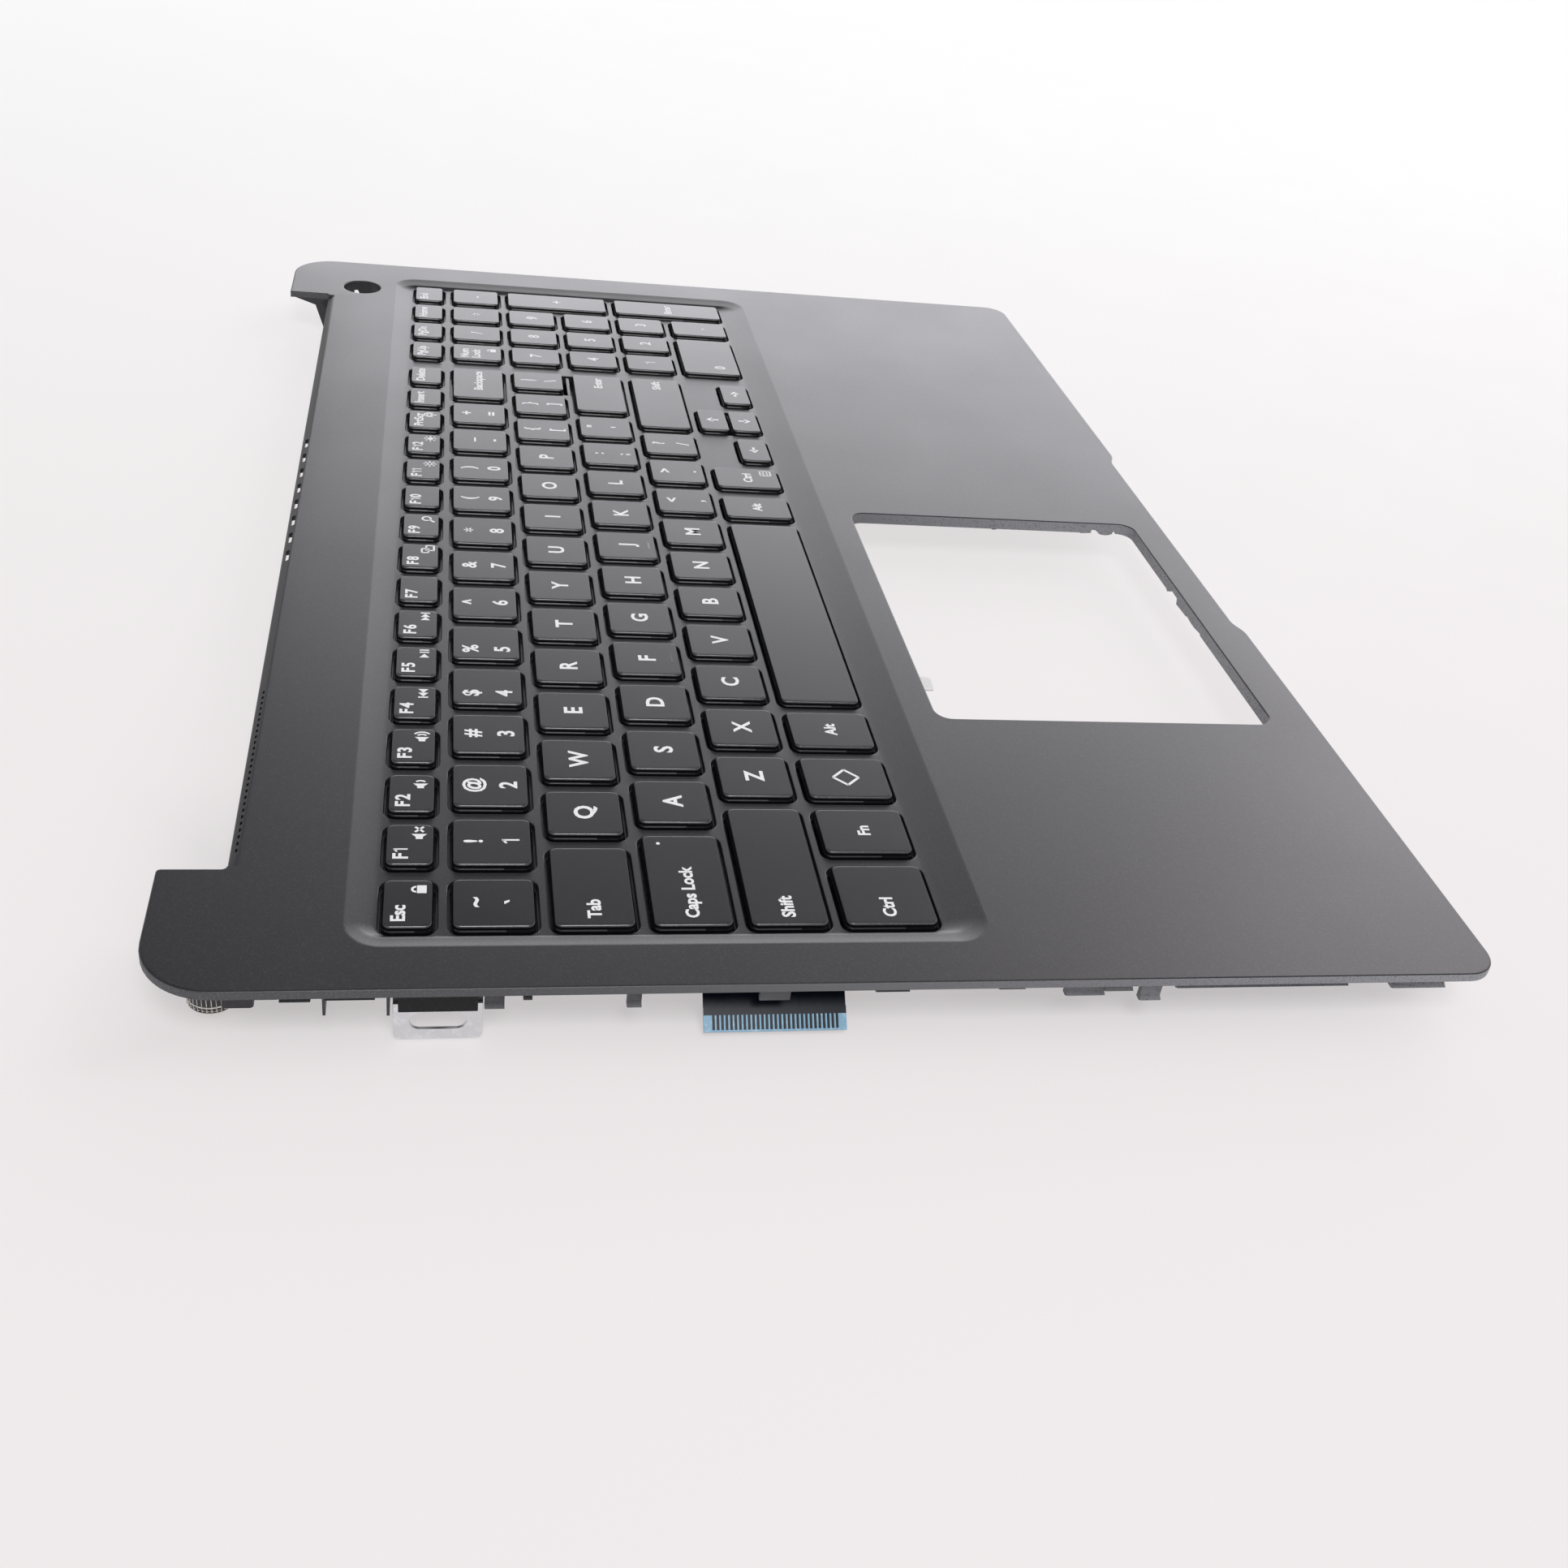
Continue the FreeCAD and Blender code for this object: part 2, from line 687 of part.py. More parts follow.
def rubber_dome(x0, x1, y0, y1):
    """A key's dome at its pressed height, as a four-sided frustum on the membrane."""
    x = (x0 + x1) / 2
    y = (y0 + y1) / 2

    def square(size, z):
        h = size / 2
        return [point(x + a * h, y + b * h, z) for a, b in ((-1, -1), (1, -1), (1, 1), (-1, 1))]

    return tapered_block(square(dome_base, deck_bottom), square(dome_top, deck_bottom + dome_height))


def stabiliser_wire(x0, x1, y0, y1):
    """A U-shaped wire that keeps a wide or tall cap level, lying inside the cap's walls."""
    m = key_wall + wire_end_margin
    s = wire_size
    upright = y1 - y0 > x1 - x0
    if upright:
        x0, x1, y0, y1 = y0, y1, x0, x1
    a, b, c = x0 + m, x1 - m, y0 + m
    outline = [(a, c), (b, c), (b, c + wire_leg), (b - s, c + wire_leg), (b - s, c + s), (a + s, c + s),
               (a + s, c + wire_leg), (a, c + wire_leg)]
    corners = [point(q, p, deck_bottom) if upright else point(p, q, deck_bottom) for p, q in outline]
    return flat_face(corners).extrude(point(0, 0, s))


def ribbon_path(offset):
    """The bent centre line of the ribbon in X and Z, moved outwards by an offset."""
    angle = math.radians(ribbon_bend_angle)
    top = plate_bottom - ribbon_thickness / 2
    radius = ribbon_bend_radius + offset
    centre = point(left_x + ribbon_bend_from_left, 0, top - ribbon_bend_radius)
    start = point(left_x + ribbon_start_from_left, 0, top + offset)
    bend = centre + point(0, 0, radius)
    leave = centre + point(-radius * math.sin(angle), 0, radius * math.cos(angle))
    direction = point(-math.cos(angle), 0, -math.sin(angle))
    return start, bend, centre, leave, direction


def bent_strip(inner, outer, from_tail):
    """A strip that follows the ribbon between two offsets; from_tail leaves out all but its last stretch."""
    wires = []
    ends = []
    for offset in (inner, outer):
        start, bend, centre, leave, direction = ribbon_path(offset)
        end = leave + direction * ribbon_tail
        if from_tail is None:
            ends.append((start, end))
            wires.append([line(start, bend), arc_through(bend, centre, leave), line(leave, end)])
        else:
            begin = end - direction * from_tail
            ends.append((begin, end))
            wires.append([line(begin, end)])
    edges = wires[0] + wires[1] + [line(ends[0][0], ends[1][0]), line(ends[0][1], ends[1][1])]
    face = Part.Face(Part.Wire(Part.__sortEdges__(edges)))
    y1 = rear_y - ribbon_from_rear
    face.translate(point(0, y1 - ribbon_width, 0))
    return face.extrude(point(0, ribbon_width, 0))


def bracket_screw_place():
    """Centre of the bracket's screw and the height of the seat that its flange meets."""
    x = left_x + bracket_inset + (bracket_thickness + bracket_flange_length) / 2
    y = rear_y - bracket_from_rear - bracket_width / 2
    return x, y, height - bracket_flange_drop


def port_bracket():
    """A folded plate: an upright face with an oblong slot, and a flange with a screw hole."""
    t = bracket_thickness
    x0 = left_x + bracket_inset
    y1 = rear_y - bracket_from_rear
    y0 = y1 - bracket_width
    screw_x, screw_y, top = bracket_screw_place()
    bottom = height - bracket_drop
    flange = box(x0, x0 + bracket_flange_length, y0, y1, top - t, top)
    c = bracket_corner
    upright = profile_x([
        (y0, top), (y0, bottom + c), (y0 + c, bottom), (y1 - c, bottom), (y1, bottom + c), (y1, top),
    ], x0, x0 + t)
    slot_r = bracket_slot_height / 2
    slot_z = height - bracket_slot_drop
    reach = bracket_slot_length / 2 - slot_r
    outline = []
    for side in (1, -1):
        for k in range(slot_end_sides + 1):
            a = math.pi * (k / slot_end_sides - 0.5)
            along = reach + slot_r * math.cos(a)
            outline.append((screw_y + side * along, slot_z + side * slot_r * math.sin(a)))
    slot = profile_x(outline, x0 - overshoot, x0 + t + overshoot)
    hole_radius = bracket_screw_radius + bracket_screw_clearance
    hole = prism(screw_x, screw_y, hole_radius, stake_sides, top - t - overshoot, top + overshoot)
    return upright.fuse(flange).cut([slot, hole]).removeSplitter()


def bracket_screw():
    x, y, top = bracket_screw_place()
    head_top = top - bracket_thickness
    head = prism(x, y, bracket_screw_head_radius, post_sides, head_top - bracket_screw_head_height, head_top)
    return head.fuse(prism(x, y, bracket_screw_radius, stake_sides, head_top, top + bracket_screw_length))


def threaded_insert(x, y, radius, bore, z0, length):
    body = prism(x, y, radius, post_sides, z0, z0 + length)
    return body.cut(cylinder(x, y, bore, z0 - overshoot, z0 + length + overshoot))


def tape_tab():
    """A small tape tab stuck under the rear rim of the touch pad opening."""
    x0 = pad_left + tape_from_pad_left
    top = height - pad_rim_depth
    y0, y1 = pad_rear - tape_reach, pad_rear + pad_rim_wall
    return box(x0, x0 + tape_length, y0, y1, top - tape_thickness, top)


def write(name, shape):
    shape.exportStep("parts/%s.step" % name)


# Keys that move have a node each; the other keys share a node with their like
moving_keys = list("qwertyuiopasdfghjklzxcvbnm") + list("1234567890")
moving_keys += ["tab", "caps_lock", "left_shift", "right_shift", "enter", "backspace", "space_bar"]
function_row = ["escape"] + ["f%d" % i for i in range(1, 13)]
function_row += ["print_screen", "insert", "delete", "page_up", "page_down", "home", "end"]
punctuation = "grave minus equals left_bracket right_bracket backslash".split()
punctuation += "semicolon quote comma period slash".split()
bottom_row = "left_control function system left_alt right_alt right_control".split()
bottom_row += ["left_arrow", "down_arrow", "right_arrow", "up_arrow"]
wide_keys = ["backspace", "enter", "left_shift", "right_shift", "space_bar", "pad_0", "pad_plus", "pad_enter"]

os.makedirs("parts", exist_ok=True)
layout = key_layout()
number_pad = [n for n in layout if n not in moving_keys + function_row + punctuation + bottom_row]
write("palm_rest_cover", palm_rest_cover(layout))
write("membrane_sheet", layer(membrane_bottom, deck_bottom))
write("support_plate", layer(plate_bottom, membrane_bottom))
write("rubber_domes", Part.makeCompound([
    rubber_dome(*edges) for edges in layout.values() if not is_low(*edges[2:])]))
write("stabiliser_wires", Part.makeCompound([stabiliser_wire(*layout[n]) for n in wide_keys]))
ribbon_half = ribbon_thickness / 2
write("keyboard_ribbon", bent_strip(-ribbon_half, ribbon_half, None))
write("ribbon_stiffener", bent_strip(ribbon_half, ribbon_half + stiffener_thickness, stiffener_length))
write("port_bracket", port_bracket())
write("bracket_screw", bracket_screw())
write("screw_inserts", Part.makeCompound([
    threaded_insert(x, y, insert_radius, insert_bore_radius, insert_recess, insert_length)
    for x, y in posts]))
write("hinge_inserts", Part.makeCompound([
    threaded_insert(x, y, hinge_insert_radius, hinge_insert_bore_radius,
                    hinge_post_bottom - hinge_insert_proud, hinge_insert_length)
    for x, y in hinge_posts]))
write("tape_tab", tape_tab())
for name in moving_keys:
    write("key_" + name, key_cap(*layout[name]))
for group, names in (
    ("function_row_keys", function_row), ("punctuation_keys", punctuation),
    ("bottom_row_keys", bottom_row), ("number_pad_keys", number_pad),
):
    write(group, Part.makeCompound([key_cap(*layout[n]) for n in names]))
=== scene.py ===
"""Laptop palm rest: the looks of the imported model, in its own frame. Sizes are in millimetres."""
import math

import bmesh
import bpy
from mathutils import Matrix, Vector


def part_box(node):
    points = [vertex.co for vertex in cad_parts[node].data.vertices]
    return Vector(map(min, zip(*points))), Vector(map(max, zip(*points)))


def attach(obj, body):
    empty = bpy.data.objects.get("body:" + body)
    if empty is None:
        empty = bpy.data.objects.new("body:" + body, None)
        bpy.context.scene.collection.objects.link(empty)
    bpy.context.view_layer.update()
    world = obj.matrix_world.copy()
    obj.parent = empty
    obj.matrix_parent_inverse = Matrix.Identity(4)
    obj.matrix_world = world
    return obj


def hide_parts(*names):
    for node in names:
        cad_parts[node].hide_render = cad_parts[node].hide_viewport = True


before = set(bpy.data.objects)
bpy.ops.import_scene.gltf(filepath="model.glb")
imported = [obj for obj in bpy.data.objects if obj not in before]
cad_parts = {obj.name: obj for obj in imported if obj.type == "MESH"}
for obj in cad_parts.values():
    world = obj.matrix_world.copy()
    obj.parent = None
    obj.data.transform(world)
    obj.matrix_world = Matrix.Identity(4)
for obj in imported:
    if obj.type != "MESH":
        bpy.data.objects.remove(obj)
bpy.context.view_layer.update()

# Palm rest cover: the laptop's top case, moulded in one shot from charcoal plastic with a fine matte grain.
# One skin holds the sunk keyboard deck, the touch pad window, the button hole and the rolled rear lip.
MM = 0.001
FINE_TURN = 9.0
TOP_SHADE = (0.0204, 0.0198, 0.0236, 1.0)
FLECK_SHADE = (0.036, 0.0352, 0.0395, 1.0)
# Painted light: the edge shades are a paler copy of the cover plastic for its walls, rims and underside, as
# if lit
LIT_EDGE_SHADE = (0.0667, 0.0679, 0.0731, 1.0)
FRONT_LIT_SHADE = (0.2875, 0.2925, 0.315, 1.0)
LIT_EDGE_FLECK = (0.116, 0.1176, 0.1248, 1.0)
LIT_EDGE_SLOT = 1
FIRST_LIT_BAND = 2
SKIN = 1.8
EDGE_ROLL = 0.45
FRONT_CORNER = 7.0
REAR_CORNER = 13.5
HINGE_TAB_WIDTH = 34.0
NOTCH_DEPTH = 12.3
NOTCH_CORNER = 0.9
SCOOP_HALF_WIDTH = 50.5
SCOOP_RUN = 4.6
SCOOP_DEPTH = 1.9
SCOOP_CORNER = 6.0
LIP_WIDTH = 2.2
ROLL_ANGLES = (0.0, 22.5, 45.0, 67.5, 90.0)
LIP_PROFILE = [(LIP_WIDTH, 0.0), (0.34, 0.86), (0.16, 0.98), (0.04, 1.12), (0.0, 1.3)]
# Painted light: where the lit-edge plastic fades from its front-lit shade to its plain one, in Y
FRONT_LIGHT_START, FRONT_LIGHT_END = -160.0, 90.0
SAME_PLACE = 0.01
GRAIN_DETAIL, SMUDGE_DETAIL = 2.0, 4.0
FLECK_BAND, SMUDGE_BAND = (0.52, 0.72), (0.3, 0.7)
SMUDGES_PER_METRE = 28.0
RELIEF_DEPTH = 0.05


def box_mm(node):
    """A CAD node's box as x0, x1, y0, y1, z0, z1."""
    low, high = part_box(node)
    return tuple(round(v / MM, 3) for pair in zip(low, high) for v in pair)


def rounded_outline(corners, turn=FINE_TURN):
    """Points round a closed outline of (x, y, radius) corners, anticlockwise, with an arc at each corner."""
    points = []
    for i, (x, y, radius) in enumerate(corners):
        corner = Vector((x, y))
        back = (Vector(corners[i - 1][:2]) - corner).normalized()
        ahead = (Vector(corners[(i + 1) % len(corners)][:2]) - corner).normalized()
        half = back.angle(ahead) / 2
        centre = corner + (back + ahead).normalized() * (radius / math.sin(half))
        first = corner + back * (radius / math.tan(half)) - centre
        last = corner + ahead * (radius / math.tan(half)) - centre
        sweep = first.angle_signed(last)
        steps = max(2, round(math.degrees(abs(sweep)) / turn))
        for k in range(steps + 1):
            points.append(centre + Matrix.Rotation(-sweep * k / steps, 2) @ first)
    return points


def moved_out(points, distances):
    """An outline with each point moved outwards by its own distance."""
    moved = []
    for i, point in enumerate(points):
        before = (point - points[i - 1]).normalized()
        after = (points[(i + 1) % len(points)] - point).normalized()
        n1 = Vector((before.y, -before.x))
        n2 = Vector((after.y, -after.x))
        moved.append(point + (n1 + n2) * (distances[i] / (1 + n1.dot(n2))))
    return moved


def ring(bm, points, heights):
    return [bm.verts.new((p.x * MM, p.y * MM, z * MM)) for p, z in zip(points, heights)]


def bridge(bm, upper, lower, hole, skip=()):
    """Faces between two rings of an edge; a hole's faces look to its middle, and an outline's look out."""
    made = []
    for i in range(len(upper)):
        if i in skip:
            continue
        j = (i + 1) % len(upper)
        corners = [upper[i], lower[i], lower[j], upper[j]]
        made.append(bm.faces.new(corners[::-1] if hole else corners))
    return made


def grain_group():
    """Moulded grain: fine flecks in the colour, the same grain as a height, and a slow change of gloss."""
    group = bpy.data.node_groups.new("moulded_grain", "ShaderNodeTree")
    sockets = group.interface
    for name, kind in (("Colour", "NodeSocketColor"), ("Fleck", "NodeSocketColor"),
                       ("Grains per metre", "NodeSocketFloat"), ("Gloss low", "NodeSocketFloat"),
                       ("Gloss high", "NodeSocketFloat")):
        sockets.new_socket(name, in_out="INPUT", socket_type=kind)
    for name, kind in (("Colour", "NodeSocketColor"), ("Roughness", "NodeSocketFloat"),
                       ("Height", "NodeSocketFloat")):
        sockets.new_socket(name, in_out="OUTPUT", socket_type=kind)
    nodes, links = group.nodes, group.links
    given = nodes.new("NodeGroupInput")
    result = nodes.new("NodeGroupOutput")
    place = nodes.new("ShaderNodeTexCoord")
    grain = nodes.new("ShaderNodeTexNoise")
    grain.inputs["Detail"].default_value = GRAIN_DETAIL
    links.new(place.outputs["Object"], grain.inputs["Vector"])
    links.new(given.outputs["Grains per metre"], grain.inputs["Scale"])
    fleck = nodes.new("ShaderNodeMapRange")
    fleck.inputs["From Min"].default_value, fleck.inputs["From Max"].default_value = FLECK_BAND
    links.new(grain.outputs["Fac"], fleck.inputs["Value"])
    colour = nodes.new("ShaderNodeMix")
    colour.data_type = "RGBA"
    links.new(fleck.outputs["Result"], colour.inputs["Factor"])
    links.new(given.outputs["Colour"], colour.inputs["A"])
    links.new(given.outputs["Fleck"], colour.inputs["B"])
    smudge = nodes.new("ShaderNodeTexNoise")
    smudge.inputs["Scale"].default_value = SMUDGES_PER_METRE
    smudge.inputs["Detail"].default_value = SMUDGE_DETAIL
    links.new(place.outputs["Object"], smudge.inputs["Vector"])
    gloss = nodes.new("ShaderNodeMapRange")
    gloss.inputs["From Min"].default_value, gloss.inputs["From Max"].default_value = SMUDGE_BAND
    links.new(smudge.outputs["Fac"], gloss.inputs["Value"])
    links.new(given.outputs["Gloss low"], gloss.inputs["To Min"])
    links.new(given.outputs["Gloss high"], gloss.inputs["To Max"])
    links.new(colour.outputs["Result"], result.inputs["Colour"])
    links.new(gloss.outputs["Result"], result.inputs["Roughness"])
    links.new(grain.outputs["Fac"], result.inputs["Height"])
    return group


GRAIN = grain_group()


def grained_material(name, colour, fleck, grains, gloss, bump, shine=0.5):
    """A plastic, rubber or film finish with the shared grain."""
    material = bpy.data.materials.new(name)
    material.use_nodes = True
    nodes, links = material.node_tree.nodes, material.node_tree.links
    shader = nodes["Principled BSDF"]
    shader.inputs["Specular IOR Level"].default_value = shine
    grain = nodes.new("ShaderNodeGroup")
    grain.node_tree = GRAIN
    grain.inputs["Colour"].default_value = colour
    grain.inputs["Fleck"].default_value = fleck
    grain.inputs["Grains per metre"].default_value = grains
    grain.inputs["Gloss low"].default_value = gloss[0]
    grain.inputs["Gloss high"].default_value = gloss[1]
    relief = nodes.new("ShaderNodeBump")
    relief.inputs["Strength"].default_value = bump
    relief.inputs["Distance"].default_value = RELIEF_DEPTH * MM
    links.new(grain.outputs["Colour"], shader.inputs["Base Color"])
    links.new(grain.outputs["Roughness"], shader.inputs["Roughness"])
    links.new(grain.outputs["Height"], relief.inputs["Height"])
    links.new(relief.outputs["Normal"], shader.inputs["Normal"])
    return material


def ramp(tree, value, low, high, start, end):
    """A value that goes from start to end while another goes from low to high."""
    node = tree.nodes.new("ShaderNodeMapRange")
    node.interpolation_type = "SMOOTHSTEP"
    for name, number in (("From Min", low), ("From Max", high), ("To Min", start), ("To Max", end)):
        node.inputs[name].default_value = number
    tree.links.new(value, node.inputs["Value"])
    return node.outputs["Result"]


def place_axes(tree, space):
    """The place on a surface, whole and as its separate X, Y and Z."""
    place = tree.nodes.new("ShaderNodeTexCoord")
    axes = tree.nodes.new("ShaderNodeSeparateXYZ")
    tree.links.new(place.outputs[space], axes.inputs["Vector"])
    return place.outputs[space], axes.outputs


def colour_between(tree, share, first, last):
    """A colour that goes from the first to the last as a share goes from 0 to 1."""
    node = tree.nodes.new("ShaderNodeMix")
    node.data_type = "RGBA"
    node.inputs["A"].default_value = first
    node.inputs["B"].default_value = last
    tree.links.new(share, node.inputs["Factor"])
    return node.outputs["Result"]


cover_x0, cover_x1, cover_y0, cover_y1 = box_mm("palm_rest_cover")[:4]
cover_top = box_mm("palm_rest_cover")[5]
underside = cover_top - SKIN
notch_x = cover_x1 - HINGE_TAB_WIDTH
notch_y = cover_y1 - NOTCH_DEPTH
scoop_x = SCOOP_HALF_WIDTH + SCOOP_RUN
cover_plastic = grained_material("cover_plastic", TOP_SHADE, FLECK_SHADE,
                                 grains=2600.0, gloss=(0.37, 0.40), bump=0.25)
# Painted light: a paler copy of the cover plastic, for the walls and edges that face the light
lit_edge_plastic = grained_material("cover_bare_edge", LIT_EDGE_SHADE, LIT_EDGE_FLECK,
                             grains=2600.0, gloss=(0.48, 0.54), bump=0.2)
# Painted light: the lit-edge plastic grows paler still towards the front, as if lit from the front
edge_tree = lit_edge_plastic.node_tree
edge_axes = place_axes(edge_tree, "Object")[1]
from_front = ramp(edge_tree, edge_axes["Y"], FRONT_LIGHT_START * MM, FRONT_LIGHT_END * MM, 0.0, 1.0)
front_lit = colour_between(edge_tree, from_front, FRONT_LIT_SHADE, LIT_EDGE_SHADE)
edge_tree.links.new(front_lit, edge_tree.nodes["Group"].inputs["Colour"])

cover = bmesh.new()
outline = rounded_outline([
    (cover_x0, cover_y0, FRONT_CORNER), (-scoop_x, cover_y0, SCOOP_CORNER),
    (-SCOOP_HALF_WIDTH, cover_y0 + SCOOP_DEPTH, SCOOP_CORNER),
    (SCOOP_HALF_WIDTH, cover_y0 + SCOOP_DEPTH, SCOOP_CORNER), (scoop_x, cover_y0, SCOOP_CORNER),
    (cover_x1, cover_y0, FRONT_CORNER), (cover_x1, cover_y1, REAR_CORNER),
    (notch_x, cover_y1, NOTCH_CORNER), (notch_x, notch_y, NOTCH_CORNER),
    (-notch_x, notch_y, NOTCH_CORNER), (-notch_x, cover_y1, NOTCH_CORNER),
    (cover_x0, cover_y1, REAR_CORNER),
])
on_lip = [abs(p.y - notch_y) < SAME_PLACE and abs(p.x) < notch_x for p in outline]
lip_run = [i for i, flag in enumerate(on_lip) if flag and on_lip[(i + 1) % len(outline)]]
roll_angles = [math.radians(a) for a in ROLL_ANGLES]
roll_profile = [(EDGE_ROLL * (1 - math.sin(a)), EDGE_ROLL * (1 - math.cos(a))) for a in roll_angles]
edge_rings = []
for (away, drop), (lip_away, lip_drop) in zip(roll_profile, LIP_PROFILE):
    inwards = [-lip_away if flag else -away for flag in on_lip]
    heights = [cover_top - (lip_drop if flag else drop) for flag in on_lip]
    edge_rings.append(ring(cover, moved_out(outline, inwards), heights))
edge_rings.append(ring(cover, outline, [underside] * len(outline)))
# Painted light: the lower bands of the outer edge take the paler lit-edge plastic
for k, (upper, lower) in enumerate(zip(edge_rings, edge_rings[1:])):
    band = bridge(cover, upper, lower, hole=False, skip=lip_run if k == 0 else ())
    for face in band:
        face.material_index = LIT_EDGE_SLOT if k >= FIRST_LIT_BAND else 0

# Vent slots: eight long ones at the middle of the sloping rear lip, and a run of short ones on its left.
# They are moulded through the lip, so that warm air can leave the case below the screen.
VENT_COUNT, VENT_PITCH, VENT_CENTRE = 8, 9.54, 2.4
VENT_LENGTH, VENT_WIDTH = 5.4, 0.9
SHORT_VENT_COUNT, SHORT_VENT_PITCH, SHORT_VENT_START = 27, 2.15, -150.0
SHORT_VENT_LENGTH, SHORT_VENT_WIDTH = 1.1, 0.45
VENT_INSET = 1.2
VENT_ROUNDING = 0.45
VENT_TURN = 30.0


def rounded_rectangle(x0, x1, y0, y1, radius, turn=FINE_TURN):
    return rounded_outline([(x0, y0, radius), (x1, y0, radius), (x1, y1, radius), (x0, y1, radius)], turn)


def fill_between(bm, rings, up=True):
    """Flat faces inside the first ring and outside the others."""
    edges = []
    for loop in rings:
        for a, b in zip(loop, loop[1:] + loop[:1]):
            edges.append(bm.edges.get((a, b)) or bm.edges.new((a, b)))
    made = bmesh.ops.triangle_fill(bm, use_beauty=True, edges=edges, normal=(0, 0, 1))
    faces = [f for f in made["geom"] if isinstance(f, bmesh.types.BMFace)]
    for face in faces:
        face.normal_update()
        if (face.normal.z > 0) != up:
            face.normal_flip()


vents = []
for i in range(VENT_COUNT):
    vents.append((VENT_CENTRE + (i - (VENT_COUNT - 1) / 2) * VENT_PITCH, VENT_LENGTH, VENT_WIDTH))
for i in range(SHORT_VENT_COUNT):
    vents.append((SHORT_VENT_START + i * SHORT_VENT_PITCH, SHORT_VENT_LENGTH, SHORT_VENT_WIDTH))
lip_slope = (LIP_PROFILE[1][1] - LIP_PROFILE[0][1]) / (LIP_PROFILE[0][0] - LIP_PROFILE[1][0])
vent_y = notch_y - VENT_INSET
vent_rings = []
for x, length, breadth in vents:
    vent = rounded_rectangle(x - length / 2, x + length / 2, vent_y - breadth / 2, vent_y + breadth / 2,
                             breadth * VENT_ROUNDING, VENT_TURN)
    mouth = ring(cover, vent, [cover_top - (p.y - notch_y + LIP_WIDTH) * lip_slope for p in vent])
    bridge(cover, mouth, ring(cover, vent, [underside] * len(vent)), hole=True)
    vent_rings.append(mouth)
lip_start, lip_end = lip_run[0], lip_run[0] + 1
lip_top, lip_foot = edge_rings[:2]
lip_strip = [lip_top[lip_start], lip_foot[lip_start], lip_foot[lip_end], lip_top[lip_end]]
fill_between(cover, [lip_strip] + vent_rings)

# Touch pad window: the opening for the touch pad, moulded in the cover with a rim below the skin.
# The rim's lower edge is broken by relief cuts and small tabs at the front and at the right.
PAD_WINDOW = (-100.0, 6.0, -117.9, -33.8)
PAD_CORNER = 4.0
PAD_EDGE = [(0.4, 0.0), (0.25, 0.02), (0.12, 0.09), (0.03, 0.21), (0.0, 0.36)]
PAD_RIM_WALL = 1.4
PAD_RIM_DROP = 3.1
# A break is a place along the edge, in X at the front and in Y at the right, and how far the rim hangs there
FRONT_BREAKS = [(-52.6, 3.1), (-52.4, 2.8), (-51.6, 2.75), (-48.2, 3.15), (-45.2, 3.1), (-42.4, 2.85),
                (-42.1, 3.2), (-34.8, 3.5), (-34.3, 2.0), (-28.6, 1.85), (-27.6, 3.5), (-26.6, 3.1)]
RIGHT_BREAKS = [(-113.7, 2.85), (-113.2, 2.0), (-112.9, 3.2), (-111.9, 3.55), (-110.7, 3.65), (-109.5, 3.5),
                (-108.8, 3.2), (-107.7, 2.2), (-106.45, 2.05), (-106.3, 3.1), (-103.2, 3.3), (-103.0, 3.1)]


def rolled_edge(bm, points, top, profile, hole):
    """Rings down an edge. The profile is (distance into the material, drop below the top) pairs."""
    side = 1 if hole else -1
    rings = []
    for away, drop in profile:
        shifted = moved_out(points, [side * away] * len(points))
        rings.append(ring(bm, shifted, [top - drop] * len(points)))
    for upper, lower in zip(rings, rings[1:]):
        bridge(bm, upper, lower, hole)
    return rings


def paint(rings, slot):
    """Gives one of a piece's materials to the faces that touch some rings."""
    for loop in rings:
        for vert in loop:
            for face in vert.link_faces:
                face.material_index = slot


pad_x1, pad_y0 = PAD_WINDOW[1:3]
pad_corners = rounded_rectangle(*PAD_WINDOW, PAD_CORNER)
arc_points = len(pad_corners) // 4
pad_loop = pad_corners[:arc_points] + [Vector((x, pad_y0)) for x, hang in FRONT_BREAKS]
pad_loop += pad_corners[arc_points:2 * arc_points] + [Vector((pad_x1, y)) for y, hang in RIGHT_BREAKS]
pad_loop += pad_corners[2 * arc_points:]
rim_hangs = [PAD_RIM_DROP] * arc_points + [hang for x, hang in FRONT_BREAKS]
rim_hangs += [PAD_RIM_DROP] * arc_points + [hang for y, hang in RIGHT_BREAKS]
rim_hangs += [PAD_RIM_DROP] * (2 * arc_points)
rim_bottom = [cover_top - hang for hang in rim_hangs]
rim_outside = moved_out(pad_loop, [PAD_RIM_WALL] * len(pad_loop))
pad_rings = rolled_edge(cover, pad_loop, cover_top, PAD_EDGE, hole=True)
rim_rings = [pad_rings[-1], ring(cover, pad_loop, rim_bottom), ring(cover, rim_outside, rim_bottom),
             ring(cover, rim_outside, [underside] * len(pad_loop))]
for upper, lower in zip(rim_rings, rim_rings[1:]):
    bridge(cover, upper, lower, hole=True)
# Painted light: the rim's walls take the paler lit-edge plastic
paint(rim_rings, LIT_EDGE_SLOT)

# Power button hole: a round hole in the right rear corner, moulded with the cover.
# Its mouth is softly rolled. The button is fitted from below, where a collar guides it.
BUTTON_CENTRE = (165.0, 106.1)
BUTTON_RADIUS = 6.0
BUTTON_EDGE = [(0.4, 0.0), (0.25, 0.03), (0.12, 0.12), (0.03, 0.25), (0.0, 0.4)]
ROUND_SIDES = 64


def circle(x, y, radius, sides):
    angles = [2 * math.pi * k / sides for k in range(sides)]
    return [Vector((x + radius * math.cos(a), y + radius * math.sin(a))) for a in angles]


button_loop = circle(*BUTTON_CENTRE, BUTTON_RADIUS, ROUND_SIDES)
button_rings = rolled_edge(cover, button_loop, cover_top, BUTTON_EDGE, hole=True)

